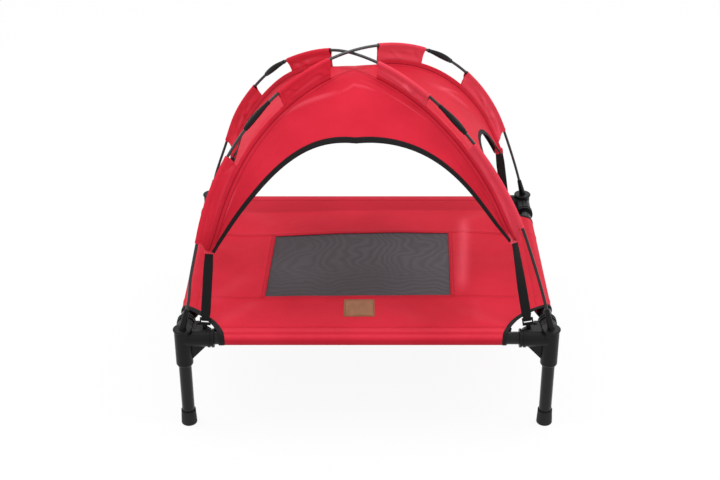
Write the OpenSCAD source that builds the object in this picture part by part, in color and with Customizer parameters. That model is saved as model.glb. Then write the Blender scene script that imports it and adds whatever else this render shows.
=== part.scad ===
// Raised pet bed on a knock-down tube frame, with a removable dome canopy.
// Four legs and four rails push into four moulded corner connectors. A fabric cover with a mesh
// window is stretched over the rails. Two crossed rods stand in the tops of the connectors and
// carry the canopy, whose four corner tips are strapped down to the connectors.
// Millimetres. +Z is up, +Y is the back, +X is the right-hand side as seen from the front.
// The origin is on the floor, under the middle of the bed.

/* [Frame] */
// Distance between the leg axes, left to right
leg_span_x = 725; // [640:5:900]
// Distance between the leg axes, front to back
leg_span_y = 575; // [520:5:700]
// Height of the rail axes above the floor
rail_z = 205; // [160:1:260]
// Outer diameter of the leg and rail tubes
tube_d = 25.4; // [22:0.2:28]
// Wall of the leg and rail tubes
tube_wall = 1.2; // [0.8:0.1:2]

/* [Feet] */
// Outer diameter of a rubber foot where it meets the floor
foot_d = 32; // [31:0.5:36]
// Outer diameter of a rubber foot at its top
foot_top_d = 29.4; // [29:0.2:31]
// Height of a rubber foot
foot_h = 33; // [26:1:45]
// Thickness of the rubber under the leg tube
foot_floor = 3.5; // [2:0.5:6]

/* [Corner connectors] */
// Outer diameter of the sockets
socket_d = 34; // [33:0.5:37]
// Reach of each rail socket from the leg axis
socket_reach = 62; // [56:1:66]
// Drop of the leg socket's mouth below the rail axis
leg_socket_drop = 61; // [52:1:80]
// Rise of the connector's flat top above the rail axis
top_rise = 23; // [22:0.5:30]
// Distance from the leg axis to the end of each rail inside its socket
rail_stop = 18; // [17:0.5:22]
// Distance from the rail axis down to the end of the leg inside its socket
leg_stop = 19; // [18.5:0.5:24]
// Diameter of the rolled bead round the top
bead_d = 5; // [3:0.5:6]
// Width of each raised rib at a rail socket's mouth
rib_w = 4.5; // [3:0.5:6]
// Height that a rib stands above its socket
rib_rise = 1.8; // [1:0.2:3]
// Gap between the two ribs of a rail socket
rib_gap = 3.5; // [2:0.5:5]
// Thickness of the gusset plates under the rail sockets
gusset_t = 7; // [4:0.5:10]
// Reach of a gusset plate along its rail socket, from the leg axis
gusset_reach = 44; // [34:1:50]
// Drop of a gusset plate's lower corner below the rail axis
gusset_drop = 48; // [36:1:50]
// Thickness of the flat web between the rail sockets
web_t = 5; // [3:0.5:8]
// Side of the square web between the rail sockets, before its corner is cut
web_side = 54; // [50:1:56]
// Length cut from each side of the web at its free corner
web_chamfer = 28; // [20:1:32]
// Height of the web's top above the rail axis
web_rise = 6; // [5:0.5:9]
// Distance from the leg axis to a strap eye along the nearer rail socket
eye_along = 41; // [38:0.5:44]
// Distance from that rail socket's axis to the strap eye
eye_across = 26; // [24:0.5:30]
// Diameter of the strap eyes in the web
eye_d = 8; // [7:0.5:10]

/* [Bed cover] */
// Thickness of the cover fabric
cover_t = 1.2; // [0.8:0.1:2]
// How far the cover has slipped along the front and back rails, positive to the right
cover_shift = -8; // [-9:1:9]
// Distance from a rail socket's mouth to the cover along the front and back rails
bare_rail_x = 15; // [15:1:40]
// Distance from a rail socket's mouth to the cover along the side rails
bare_rail_y = 28; // [18:1:48]
// Bulge of the curved corner cut beyond its chord
corner_cut_bulge = 11; // [6:1:20]
// Width of the binding along the corner cuts
binding_w = 11; // [8:1:16]
// Height that a binding stands above the fabric it edges
binding_rise = 0.5; // [0.3:0.1:1]
// Width of the mesh window
window_w = 384; // [280:2:420]
// Depth of the mesh window
window_l = 257; // [180:1:300]
// Distance from the front rail's axis to the window's front edge
front_margin = 136; // [115:1:200]
// Thickness of the mesh
mesh_t = 0.8; // [0.5:0.1:1.5]
// Width of mesh sewn under the window's edge
mesh_lap = 9; // [5:1:15]

/* [Label patch] */
// Width of the label patch
label_w = 58; // [40:1:80]
// Depth of the label patch
label_l = 62; // [30:1:70]
// Thickness of the label patch
label_t = 1.2; // [0.8:0.1:2]
// Radius of the label patch's corners
label_r = 3; // [1:0.5:8]
// Distance from the window's front edge to the label patch
label_gap = 16; // [8:1:30]
// Distance of the label patch's centre from the window's centre, positive to the right
label_side = -5; // [-40:1:40]

/* [Poles] */
// Diameter of the rods
pole_d = 6; // [5:0.2:7]
// Height of the upper rod's axis at the crown, above the connector tops
crown_rise = 468; // [440:2:500]
// Lean of a rod's straight foot towards the middle, from vertical, in degrees
pole_tilt = 19.2; // [17:0.2:22]
// Sideways lean of the crown, positive to the right
crown_lean = -26; // [-30:1:30]
// How far the back left rod is pressed in, low on its arc
press_low = 22; // [0:1:24]
// How far the back left rod is pressed in, high on its arc
press_high = 19; // [0:1:21]
// Space between the two rods where they cross
crossing_gap = 0.6; // [0.4:0.1:2]
// Diameter of the pin under each pole tip
pin_d = 8; // [6:0.5:10]
// Length of the pin under each pole tip
pin_len = 19; // [14:1:20]
// Diameter of a pole tip's boot at the connector
boot_d = 14; // [12:0.5:18]
// Diameter of a pole tip's boot at its upper end
boot_top_d = 9; // [8.6:0.2:11]
// Length of a pole tip's boot
boot_len = 40; // [30:1:50]
// Length of a joining ferrule along its rod
ferrule_len = 74; // [50:2:90]
// Diameter of a ferrule at its middle
ferrule_d = 12; // [10:0.5:15]
// Place of the front ferrules, in degrees up the rod's arc
ferrule_front_at = 55.5; // [54.5:0.5:56.5]
// Place of the back ferrules, in degrees up the rod's arc
ferrule_back_at = 57.5; // [54.5:0.5:58]

/* [Canopy] */
// Thickness of the canopy fabric
canopy_t = 1; // [0.8:0.1:1.5]
// Distance of the canopy's seams inside the lower rod
seam_inset = 34; // [28:1:42]
// Height of the folded strip that stands along each seam
strip_h = 10; // [6:1:14]
// Thickness of that folded strip
strip_t = 1.8; // [1.4:0.1:2.4]
// Height of the canopy's four corner tips above the connector tops
tip_rise = 147; // [130:1:160]
// How far the tips are drawn in from the line of their seams, left to right
tip_draw_x = -7; // [-8:1:14]
// How far the tips are drawn in from the line of their seams, front to back
tip_draw_y = 27; // [0:1:32]
// How far the front left tip is tugged down by its strap
tip_tug_z = 20; // [0:1:22]
// How far the front left tip is tugged out by its strap
tip_tug_x = 8; // [0:1:10]
// Height of the front and back arches above the connector tops
main_arch_rise = 347; // [310:1:370]
// Height of the side arches above the connector tops
side_arch_rise = 274; // [240:1:300]
// How much fuller than a circle the front and back arches are cut beside their tops
arch_full = 5; // [0:0.5:7]
// How much further the front and back arches reach to the right than to the left
arch_skew = 6; // [0:0.5:7]
// Width of the binding round the arches
arch_binding_w = 10; // [8:0.5:16]
// Distance from the crown to the sleeves, in degrees of the rod's arc
crown_opening = 8.5; // [7:0.5:12]
// Top of the opening round each ferrule, in degrees up the rod's arc
opening_top = 64; // [62:0.5:68]
// Foot of the opening round each ferrule, in degrees up the rod's arc
opening_foot = 45; // [42:0.5:50]
// Lower end of the lower sleeves, in degrees up the rod's arc
sleeve_foot = 18.5; // [18:0.5:22]
// Thickness of a sleeve's cloth
sleeve_t = 0.8; // [0.5:0.1:1.2]

/* [Tie-down straps] */
// Width of the straps
strap_w = 15; // [10:0.5:18]
// Thickness of the straps
strap_t = 1.6; // [1:0.1:2.5]
// Width of a hook's buckle frame
buckle_w = 22; // [20:0.5:26]
// Height of a hook's buckle frame
buckle_h = 15; // [12:0.5:20]
// Thickness of a hook
hook_t = 3.6; // [3:0.2:5]
// Width of a hook's neck
neck_w = 9; // [6:0.5:12]
// Diameter of a hook's tongue
tongue_d = 5.6; // [4:0.2:6.4]
// Height above the web at which a hook's neck turns down into its eye
neck_rise = 2; // [1:0.5:4]

/* [Clearances] */
// Radial clearance of a leg in its socket
leg_gap = 0.08; // [0.02:0.01:0.1]
// Radial clearance of a rail in its socket
rail_gap = 0.1; // [0.05:0.01:0.2]
// Radial clearance of a pole pin in its hole
pin_gap = 0.08; // [0.02:0.01:0.1]
// Radial clearance of the cover's sleeves round the rails
cover_gap = 0.2; // [0.1:0.05:0.4]
// Radial clearance of a rod in its ferrule and in its boot
rod_gap = 0.2; // [0.15:0.05:0.3]
// Radial clearance of a rod in its fabric sleeve
sleeve_gap = 0.5; // [0.3:0.1:1]
// Space between the lowest canopy fabric and a strap's upper end
tip_gap = 1.2; // [1:0.1:3]

/* [Hidden] */

$fn = 64;

FABRIC = [0.80, 0.10, 0.18];
BLACK_CLOTH = [0.07, 0.07, 0.08];
PLASTIC = [0.12, 0.12, 0.13];
TUBE = [0.16, 0.16, 0.17];
ROD_DARK = [0.14, 0.15, 0.15];
ROD_GREY = [0.38, 0.40, 0.40];
MESH = [0.27, 0.26, 0.29];
LEATHER = [0.60, 0.38, 0.22];

// A small overlap that makes neighbouring solids of one piece join
bite = 1;

half_x = leg_span_x / 2;
half_y = leg_span_y / 2;
socket_r = socket_d / 2;
tube_r = tube_d / 2;
seat_z = rail_z + top_rise;

// Plan distance and direction of the leg axes from the middle
seat_r = norm([half_x, half_y]);
dir_x = half_x / seat_r;
dir_y = half_y / seat_r;

// ---------------------------------------------------------------- helpers

function unit(v) = v / norm(v);
function mix(a, b, t) = a + (b - a) * t;
function clamp01(t) = min(max(t, 0), 1);
function smooth(t) = let (c = clamp01(t)) c * c * (3 - 2 * c);

// Puts a front left corner's part at any corner; sx and sy are -1 or 1
module at_corner(sx, sy) {
    translate([sx * half_x, sy * half_y, 0])
        mirror([sx > 0 ? 1 : 0, 0, 0])
            mirror([0, sy > 0 ? 1 : 0, 0])
                children();
}

// Lays an upright part along +X or along +Y
module along(axis) {
    rotate(axis == "x" ? [0, 90, 0] : [-90, 0, 0]) children();
}

// Faces of a skin over rings of n points each, in order along the sweep
function ring_sides(rings, n, first, flip) = [
    for (i = [0 : rings - 2], j = [0 : n - 1], half = [0, 1])
        let (
            a = first + i * n + j,
            b = first + i * n + (j + 1) % n,
            tri = half == 0 ? [a, b, b + n] : [a, b + n, a + n]
        )
        flip ? [tri[2], tri[1], tri[0]] : tri
];

// A solid swept through a list of closed rings
module sweep(rings) {
    n = len(rings[0]);
    count = len(rings);
    polyhedron(
        points = [for (ring = rings) for (p = ring) p],
        faces = concat(
            ring_sides(count, n, 0, true),
            [[for (j = [0 : n - 1]) j]],
            [[for (j = [n - 1 : -1 : 0]) (count - 1) * n + j]]
        ),
        convexity = 6
    );
}

// A swept solid with a hole along it
module sweep_tube(outer, inner) {
    n = len(outer[0]);
    count = len(outer);
    hole = count * n;
    last = (count - 1) * n;
    polyhedron(
        points = concat([for (ring = outer) for (p = ring) p], [for (ring = inner) for (p = ring) p]),
        faces = concat(
            ring_sides(count, n, 0, true),
            ring_sides(count, n, hole, false),
            [for (j = [0 : n - 1]) let (k = (j + 1) % n) [j, k, hole + k, hole + j]],
            [for (j = [0 : n - 1]) let (k = last + (j + 1) % n) [k, last + j, hole + last + j, hole + k]]
        ),
        convexity = 6
    );
}

// A sheet between an outer and an inner grid of points
module sheet(outer, inner) {
    rows = len(outer);
    cols = len(outer[0]);
    under = rows * cols;
    rim = concat(
        [for (j = [0 : cols - 2]) j],
        [for (i = [0 : rows - 2]) i * cols + cols - 1],
        [for (j = [cols - 1 : -1 : 1]) (rows - 1) * cols + j],
        [for (i = [rows - 1 : -1 : 1]) i * cols]
    );
    polyhedron(
        points = concat([for (row = outer) for (p = row) p], [for (row = inner) for (p = row) p]),
        faces = concat(
            [for (i = [0 : rows - 2], j = [0 : cols - 2]) for (half = [0, 1])
                let (a = i * cols + j, b = a + 1, c = b + cols, d = a + cols)
                half == 0 ? [a, b, c] : [a, c, d]],
            [for (i = [0 : rows - 2], j = [0 : cols - 2]) for (half = [0, 1])
                let (a = under + i * cols + j, b = a + 1, c = b + cols, d = a + cols)
                half == 0 ? [c, b, a] : [d, c, a]],
            [for (k = [0 : len(rim) - 1]) for (half = [0, 1])
                let (a = rim[k], b = rim[(k + 1) % len(rim)])
                half == 0 ? [b, a, under + a] : [b, under + a, under + b]]
        ),
        convexity = 6
    );
}

// ---------------------------------------------------------------- tube frame

module hollow_tube(length) {
    difference() {
        cylinder(h = length, r = tube_r);
        translate([0, 0, -bite]) cylinder(h = length + 2 * bite, r = tube_r - tube_wall);
    }
}

module rail_x(sy) {
    color(TUBE)
        translate([rail_stop - half_x, sy * half_y, rail_z])
            along("x") hollow_tube(leg_span_x - 2 * rail_stop);
}

module rail_y(sx) {
    color(TUBE)
        translate([sx * half_x, rail_stop - half_y, rail_z])
            along("y") hollow_tube(leg_span_y - 2 * rail_stop);
}

leg_top = rail_z - leg_stop;

module leg(sx, sy) {
    color(TUBE)
        at_corner(sx, sy)
            translate([0, 0, foot_floor]) hollow_tube(leg_top - foot_floor);
}

// Radius of a foot's lower edge, and depth and width of the groove under its lip
foot_round = 3;
foot_groove = 0.9;

module foot(sx, sy) {
    foot_r = foot_d / 2;
    top_r = foot_top_d / 2;
    edge = concat(
        [[0, 0]],
        [for (a = [0 : 15 : 90]) [foot_r - foot_round * (1 - sin(a)), foot_round * (1 - cos(a))]],
        [
            [top_r, foot_h - 3 * foot_groove],
            [top_r - foot_groove, foot_h - 2 * foot_groove],
            [top_r - foot_groove, foot_h - foot_groove],
            [top_r, foot_h - foot_groove],
            [top_r, foot_h],
            [0, foot_h]
        ]
    );
    color(PLASTIC)
        at_corner(sx, sy)
            difference() {
                rotate_extrude() polygon(edge);
                translate([0, 0, foot_floor]) cylinder(h = foot_h, r = tube_r);
            }
}

// ---------------------------------------------------------------- corner connectors

// Height of the chamfer at the leg socket's mouth
mouth_chamfer = 3;
web_top = rail_z + web_rise;
// The pin's hole is a little deeper than the pin
pin_well = pin_len + 2;

// One rail socket's body, along +Z from the leg axis
module rail_socket() {
    cylinder(h = socket_reach, r = socket_r);
    for (k = [0, 1])
        translate([0, 0, socket_reach - rib_w - k * (rib_w + rib_gap)])
            cylinder(h = rib_w, r = socket_r + rib_rise);
}

// The plate under a rail socket, in the plane of that socket and the leg
module gusset() {
    root = socket_r - bite;
    top = rail_z - socket_r + bite;
    translate([0, gusset_t / 2, 0])
        rotate([90, 0, 0])
            linear_extrude(gusset_t)
                polygon([
                    [root, top], [gusset_reach, top], [gusset_reach, top - 2 * bite],
                    [root, rail_z - gusset_drop]
                ]);
}

module corner_web() {
    far = web_side;
    near = web_side - web_chamfer;
    translate([0, 0, web_top - web_t])
        linear_extrude(web_t)
            polygon([[0, 0], [far, 0], [far, near], [near, far], [0, far]]);
}

module corner_connector(sx, sy) {
    mouth_z = rail_z - leg_socket_drop;
    color(PLASTIC)
        at_corner(sx, sy)
            difference() {
                union() {
                    translate([0, 0, mouth_z + mouth_chamfer])
                        cylinder(h = seat_z - mouth_z - mouth_chamfer, r = socket_r);
                    translate([0, 0, mouth_z])
                        cylinder(h = mouth_chamfer, r1 = socket_r - mouth_chamfer / 2, r2 = socket_r);
                    translate([0, 0, seat_z - bead_d / 2])
                        rotate_extrude() translate([socket_r - bite / 2, 0]) circle(d = bead_d, $fn = 32);
                    translate([0, 0, rail_z]) along("x") rail_socket();
                    translate([0, 0, rail_z]) along("y") rail_socket();
                    gusset();
                    mirror([1, -1, 0]) gusset();
                    corner_web();
                }
                translate([0, 0, mouth_z - bite])
                    cylinder(h = leg_top - mouth_z + bite, r = tube_r + leg_gap);
                for (axis = ["x", "y"])
                    translate([0, 0, rail_z])
                        along(axis)
                            translate([0, 0, rail_stop])
                                cylinder(h = socket_reach, r = tube_r + rail_gap);
                translate([0, 0, seat_z - pin_well]) cylinder(h = pin_well + bite, d = pin_d + 2 * pin_gap);
                for (eye = [[eye_along, eye_across], [eye_across, eye_along]])
                    translate([eye[0], eye[1], web_top - web_t - bite])
                        cylinder(h = web_t + 2 * bite, d = eye_d);
            }
}

// ---------------------------------------------------------------- bed cover

cover_sleeve_r = tube_r + cover_gap + cover_t;
// The flat cloth lies a hair under the crest of its sleeves
cover_dip = 0.15;
cover_top = rail_z + cover_sleeve_r - cover_dip;
cover_under = cover_top - cover_t;

// The corner cut is one arc: where it crosses the rails, its chord, its radius and its centre in a
// corner's own axes
corner_cut_x = socket_reach + bare_rail_x;
corner_cut_y = socket_reach + bare_rail_y;
cut_chord = norm([corner_cut_x, corner_cut_y]);
cut_r = (cut_chord * cut_chord / 4 + corner_cut_bulge * corner_cut_bulge) / (2 * corner_cut_bulge);
cut_centre = [corner_cut_x / 2, corner_cut_y / 2]
    - (cut_r - corner_cut_bulge) * [corner_cut_y, corner_cut_x] / cut_chord;

window_y = front_margin + window_l / 2 - half_y;

// An upright cutter as tall as the sleeves, on the centre of a corner's cut
module cut_round(r) {
    translate([cut_centre[0], cut_centre[1], rail_z - tube_d])
        cylinder(h = 2 * tube_d, r = r, $fn = 128);
}

// Cylinders of one radius round all four rail axes
module round_rails(r, overrun) {
    for (s = [-1, 1]) {
        translate([-half_x - overrun, s * half_y, rail_z])
            along("x") cylinder(h = leg_span_x + 2 * overrun, r = r);
        translate([s * half_x, -half_y - overrun, rail_z])
            along("y") cylinder(h = leg_span_y + 2 * overrun, r = r);
    }
}

module bed_fabric() {
    color(FABRIC)
        difference() {
            union() {
                round_rails(cover_sleeve_r, 0);
                translate([-half_x, -half_y, cover_under]) cube([leg_span_x, leg_span_y, cover_t]);
            }
            round_rails(tube_r + cover_gap, tube_d);
            for (sx = [-1, 1], sy = [-1, 1])
                translate([cover_shift, 0, 0]) at_corner(sx, sy) cut_round(cut_r + binding_w);
            translate([cover_shift - window_w / 2, window_y - window_l / 2, cover_under - bite])
                cube([window_w, window_l, cover_t + 2 * bite]);
        }
}

// The binding of one corner cut: a strip of the thickened cover between two arcs
module corner_binding(sx, sy) {
    reach = max(corner_cut_x, corner_cut_y) + 4 * binding_w;
    at_corner(sx, sy)
        difference() {
            intersection() {
                union() {
                    for (axis = ["x", "y"])
                        translate([0, 0, rail_z])
                            along(axis) cylinder(h = reach, r = cover_sleeve_r + binding_rise);
                    translate([0, 0, cover_under - binding_rise])
                        cube([reach, reach, cover_t + 2 * binding_rise]);
                }
                translate([-sx * cover_shift, 0, 0]) cut_round(cut_r + binding_w);
            }
            for (axis = ["x", "y"])
                translate([0, 0, rail_z])
                    along(axis)
                        translate([0, 0, -bite]) cylinder(h = reach + 2 * bite, r = tube_r + cover_gap);
            translate([-sx * cover_shift, 0, 0]) cut_round(cut_r);
        }
}

module corner_bindings() {
    color(BLACK_CLOTH)
        for (sx = [-1, 1], sy = [-1, 1])
            corner_binding(sx, sy);
}

module mesh_panel() {
    w = window_w + 2 * mesh_lap;
    l = window_l + 2 * mesh_lap;
    color(MESH)
        translate([cover_shift - w / 2, window_y - l / 2, cover_under - mesh_t])
            cube([w, l, mesh_t]);
}

module rounded_plate(w, l, t, r) {
    translate([r, 0, 0]) cube([w - 2 * r, l, t]);
    translate([0, r, 0]) cube([w, l - 2 * r, t]);
    for (x = [r, w - r], y = [r, l - r])
        translate([x, y, 0]) cylinder(h = t, r = r);
}

module label_patch() {
    color(LEATHER)
        translate([
            cover_shift + label_side - label_w / 2,
            window_y - window_l / 2 - label_gap - label_l,
            cover_top
        ])
            rounded_plate(label_w, label_l, label_t, label_r);
}

// ---------------------------------------------------------------- rods

// A bow is the curve of one rod in its own upright plane: a straight foot that leans inwards
// by pole_tilt, then an arc over the middle. It is held as [radius, height of the arc's centre].
function bow(apex_z) =
    let (r = (seat_r - (apex_z - seat_z) * tan(pole_tilt)) / (1 / cos(pole_tilt) - tan(pole_tilt)))
    [r, apex_z - r];

upper_apex = seat_z + crown_rise;
upper_bow = bow(upper_apex);
lower_bow = bow(upper_apex - pole_d - crossing_gap);

// Distance from the middle and height at angle a up a bow, inset by a distance inside it.
// Below pole_tilt the angle measures the same length along the straight foot.
function bow_rz(b, a, inset) =
    let (r = b[0] - inset, down = max(pole_tilt - a, 0) * PI / 180 * b[0], at = max(a, pole_tilt))
    [r * cos(at) + down * sin(pole_tilt), b[1] + r * sin(at) - down * cos(pole_tilt)];

// Angle at which a bow, inset by a distance, reaches height z
function bow_angle(b, z, inset) =
    let (r = b[0] - inset, foot = b[1] + r * sin(pole_tilt))
    z > foot
        ? asin(min((z - b[1]) / r, 1))
        : pole_tilt - (foot - z) / cos(pole_tilt) / b[0] * 180 / PI;

// The crown's sideways lean, which starts above the boots
lean_from = seat_z + boot_len;
function lean_at(z) = crown_lean * smooth((z - lean_from) / (upper_apex - lean_from));

// A point of the quarter sx, sy from its distance and height
function in_quarter(sx, sy, rz) = [sx * dir_x * rz[0] + lean_at(rz[1]), sy * dir_y * rz[0], rz[1]];

// The back left rod has sagged flatter than its arc, as if pressed in at two places, and the cloth
// on it has moved with it. Each press is [degrees up the arc, depth].
presses = [[32, press_low], [58, press_high]];
press_reach = crown_rise * 0.49;

// A share of 1 at a centre, fading to 0 at a reach from it
function near(p, centre, reach) = pow(1 - pow(min(norm(p - centre) / reach, 1), 2), 2);

function press_move(p, press) =
    near(p, in_quarter(-1, 1, bow_rz(lower_bow, press[0], 0)), press_reach) * press[1]
    * [dir_x * cos(press[0]), -dir_y * cos(press[0]), -sin(press[0])];

// A point moved with the pressed rod. The rod's foot stays straight in its boot.
function pressed(p) =
    p + clamp01((p[2] - lean_from) / boot_len) * (press_move(p, presses[0]) + press_move(p, presses[1]));

// A rod is [bow, sx, sy], where sx, sy is the quarter in which its angle is under 90 degrees
rod_a = [upper_bow, -1, -1];
rod_b = [lower_bow, 1, -1];

function rod_point(rod, a) =
    pressed(a <= 90
        ? in_quarter(rod[1], rod[2], bow_rz(rod[0], a, 0))
        : in_quarter(-rod[1], -rod[2], bow_rz(rod[0], 180 - a, 0)));
function rod_along(rod, a) = unit(rod_point(rod, a + 0.5) - rod_point(rod, a - 0.5));
function rod_side(rod) = [-rod[2] * dir_y, rod[1] * dir_x, 0];

// A ring of points round a rod, square to it
rod_sides = 10;
function rod_ring(rod, a, r) =
    let (
        centre = rod_point(rod, a),
        side = rod_side(rod),
        out = unit(cross(rod_along(rod, a), side))
    )
    [for (k = [0 : rod_sides - 1])
        let (t = 360 * k / rod_sides) centre + r * (cos(t) * side + sin(t) * out)];

// Angles from a to b, with every multiple of arc_step between them
arc_step = 3;
function steps(a, b) = concat(
    [a],
    [for (k = [floor(a / arc_step) + 1 : ceil(b / arc_step) - 1]) k * arc_step],
    [b]
);

module rod_piece(rod, from, to) {
    sweep([for (a = steps(from, to)) rod_ring(rod, a, pole_d / 2)]);
}

// Length along a bow as an angle
function as_angle(b, length) = length / b[0] * 180 / PI;

// The rod ends stand this far apart inside a ferrule
rod_end_gap = 1;
// The rod starts this far above the connector's top, inside its boot
rod_start = 6;

function rod_foot(b) = bow_angle(b, seat_z + rod_start, 0);

module rod_front(rod) {
    rod_piece(rod, rod_foot(rod[0]), ferrule_front_at - as_angle(rod[0], rod_end_gap / 2));
}

module rod_middle(rod) {
    half_gap = as_angle(rod[0], rod_end_gap / 2);
    rod_piece(rod, ferrule_front_at + half_gap, 180 - ferrule_back_at - half_gap);
}

module rod_back(rod) {
    rod_piece(rod, 180 - ferrule_back_at + as_angle(rod[0], rod_end_gap / 2), 180 - rod_foot(rod[0]));
}

// A moulded joint, thick in the middle and fine at both ends
ferrule_lip = 0.8;

module ferrule(rod, at) {
    half = as_angle(rod[0], ferrule_len / 2);
    bore = pole_d / 2 + rod_gap;
    ends = bore + ferrule_lip;
    places = steps(at - half, at + half);
    color(PLASTIC)
        sweep_tube(
            [for (a = places) rod_ring(rod, a, mix(ends, ferrule_d / 2, smooth(1 - abs(a - at) / half)))],
            [for (a = places) rod_ring(rod, a, bore)]
        );
}

// The pin in the connector's top and the tapered boot round the foot of a rod
module pole_tip(sx, sy) {
    turn = atan2(dir_y, dir_x);
    color(PLASTIC)
        at_corner(sx, sy) {
            translate([0, 0, seat_z - pin_len]) cylinder(h = pin_len + rod_start / 2, d = pin_d);
            translate([0, 0, seat_z])
                rotate([0, 0, turn])
                    rotate([0, pole_tilt, 0])
                        difference() {
                            translate([0, 0, -boot_d])
                                cylinder(
                                    h = boot_len + boot_d,
                                    d1 = boot_d + (boot_d - boot_top_d) * boot_d / boot_len,
                                    d2 = boot_top_d
                                );
                            rotate([0, -pole_tilt, 0])
                                translate([0, 0, -2 * boot_d]) cylinder(h = 2 * boot_d, r = 2 * boot_d);
                            translate([0, 0, rod_start - bite])
                                cylinder(h = boot_len, r = pole_d / 2 + rod_gap);
                        }
        }
}

// ---------------------------------------------------------------- canopy

// The canopy's seams follow the lower rod, inset, and their lowest ends are drawn inwards
tip_z = seat_z + tip_rise;
tip_at = bow_angle(lower_bow, tip_z, seam_inset);
// Angle below which the tips are drawn in
draw_from = 26;
function drawn(a) = pow(clamp01((draw_from - a) / (draw_from - tip_at)), 2);

// A seam's offsets from the middle, left to right and front to back, and its height
function seam_xyz(a) =
    let (rz = bow_rz(lower_bow, a, seam_inset), k = drawn(a))
    [dir_x * rz[0] - tip_draw_x * k, dir_y * rz[0] - tip_draw_y * k, rz[1]];
function plain_seam(sx, sy, a) =
    let (p = seam_xyz(a))
    [sx * p[0] + lean_at(p[2]), sy * p[1], p[2]];

// A point of cloth moved with the pressed rod and with the front left tip's strap
tug_reach = tip_rise * 1.36;
function settled(p) =
    pressed(p) + near(p, plain_seam(-1, -1, tip_at), tug_reach) * [-tip_tug_x, 0, -tip_tug_z];

function seam_point(sx, sy, a) = settled(plain_seam(sx, sy, a));
function seam_side(sx, sy) = [sy * dir_y, -sx * dir_x, 0];

// The rod that stands over a quarter's seam, at the seam's own angle
function rod_over(sx, sy, a) = sx == sy
    ? rod_point(rod_a, sx < 0 ? a : 180 - a)
    : rod_point(rod_b, sx > 0 ? a : 180 - a);

// A canopy panel spans between two seams. Across says which of a seam's offsets runs along the
// panel: 0 for the front and back, 1 for the sides. The arch is cut from tip to tip.
panel_cols = 24;
panel_rows = 7;
// Distance from a seam's lower end to the arches that meet there
tip_half = 5;
// Distance from a seam's line to the cloth beside it
seam_clear = strip_t / 2 + canopy_t / 2 + 1;

function arch_circle(across, rise) =
    let (w = seam_xyz(tip_at)[across] - tip_half, h = rise - tip_rise)
    [(w * w + h * h) / (2 * h), rise];

// A point on the arch, or a distance below it, at share t of the way from tip to tip
function arch_point(across, rise, t, below) =
    let (
        r = arch_circle(across, rise)[0],
        centre = seat_z + rise - r,
        half = acos((tip_z - centre) / r),
        side = 2 * t - 1,
        fuller = across == 0 ? arch_full * sin(360 * abs(side)) + arch_skew * pow(sin(180 * side), 3) : 0,
        reach = r - below + fuller
    )
    [reach * sin(half * side), centre + reach * cos(half * side)];

// The panel's depth from the middle at angle a
function panel_depth(across, a) = seam_xyz(a)[1 - across];

// A point on the panel from its place along it, its angle and its height off the cloth. Side is
// 1 for the back and right-hand panels, -1 for the front and left-hand ones.
function panel_point(across, side, along_it, a, off) =
    let (
        here = [panel_depth(across, a), seam_xyz(a)[2]],
        ahead = [panel_depth(across, a + 0.2), seam_xyz(a + 0.2)[2]],
        behind = [panel_depth(across, a - 0.2), seam_xyz(a - 0.2)[2]],
        run = unit(ahead - behind),
        depth = here[0] + off * run[1],
        z = here[1] - off * run[0]
    )
    settled(across == 0
        ? [along_it + lean_at(z), side * depth, z]
        : [side * depth + lean_at(z), along_it, z]);

function panel_grid(across, side, rise, off) = [
    for (i = [0 : panel_rows]) [
        for (j = [0 : panel_cols])
            let (
                t = j / panel_cols,
                foot = arch_point(across, rise, t, 0),
                foot_a = bow_angle(lower_bow, foot[1], seam_inset),
                top_a = mix(tip_at, 90, 1 - abs(2 * t - 1)),
                top = sign(t - 0.5) * max(seam_xyz(top_a)[across] - seam_clear, 0),
                up = i / panel_rows
            )
            panel_point(across, side, mix(foot[0], top, up), mix(foot_a, top_a, up), off)
    ]
];

function binding_grid(across, side, rise, off) = [
    for (below = [arch_binding_w, 0]) [
        for (j = [0 : panel_cols])
            let (p = arch_point(across, rise, j / panel_cols, below))
            panel_point(across, side, p[0], bow_angle(lower_bow, p[1], seam_inset), off)
    ]
];

// A side panel's grid runs the other way round, and so does a front or left-hand one's, and its
// outer face is then given second
function outward(across, side) = across == 0 ? side : -side;

module panel(across, side, rise) {
    lift = canopy_t / 2 * outward(across, side);
    color(FABRIC)
        sheet(panel_grid(across, side, rise, lift), panel_grid(across, side, rise, -lift));
}

module arch_binding(across, side, rise) {
    lift = (canopy_t / 2 + binding_rise) * outward(across, side);
    color(BLACK_CLOTH)
        sheet(binding_grid(across, side, rise, lift), binding_grid(across, side, rise, -lift));
}

// The folded strip that stands along a seam, between the panels and the sleeves
function strip_up(sx, sy, a) = unit(rod_over(sx, sy, a) - seam_point(sx, sy, a));
// Depth of the strip's foot below the seam
strip_bottom = 2;

module seam_strip(sx, sy) {
    side = seam_side(sx, sy) * strip_t / 2;
    color(FABRIC)
        sweep([
            for (a = steps(tip_at, 90 - crown_opening))
                let (foot = seam_point(sx, sy, a), up = strip_up(sx, sy, a))
                [
                    foot - strip_bottom * up - side,
                    foot - strip_bottom * up + side,
                    foot + strip_h * up + side,
                    foot + strip_h * up - side
                ]
        ]);
}

// A sleeve's section: a keel that stands on the seam strip, then cloth wrapped round the rod.
// The bore's two lowest points stand a small angle either side of the keel's middle.
sleeve_bend = 7;
bore_low = 8;

// A point at angle t round the rod over a seam, square to the rod, and a point on the seam
// strip's upper edge
function round_rod(sx, sy, a, r, t) =
    let (
        run = rod_over(sx, sy, a + 0.5) - rod_over(sx, sy, a - 0.5),
        up = unit(cross(run, seam_side(sx, sy)))
    )
    rod_over(sx, sy, a) + r * (cos(t) * seam_side(sx, sy) + sin(t) * up);
function strip_edge(sx, sy, a) = seam_point(sx, sy, a) + strip_h * strip_up(sx, sy, a);

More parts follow.
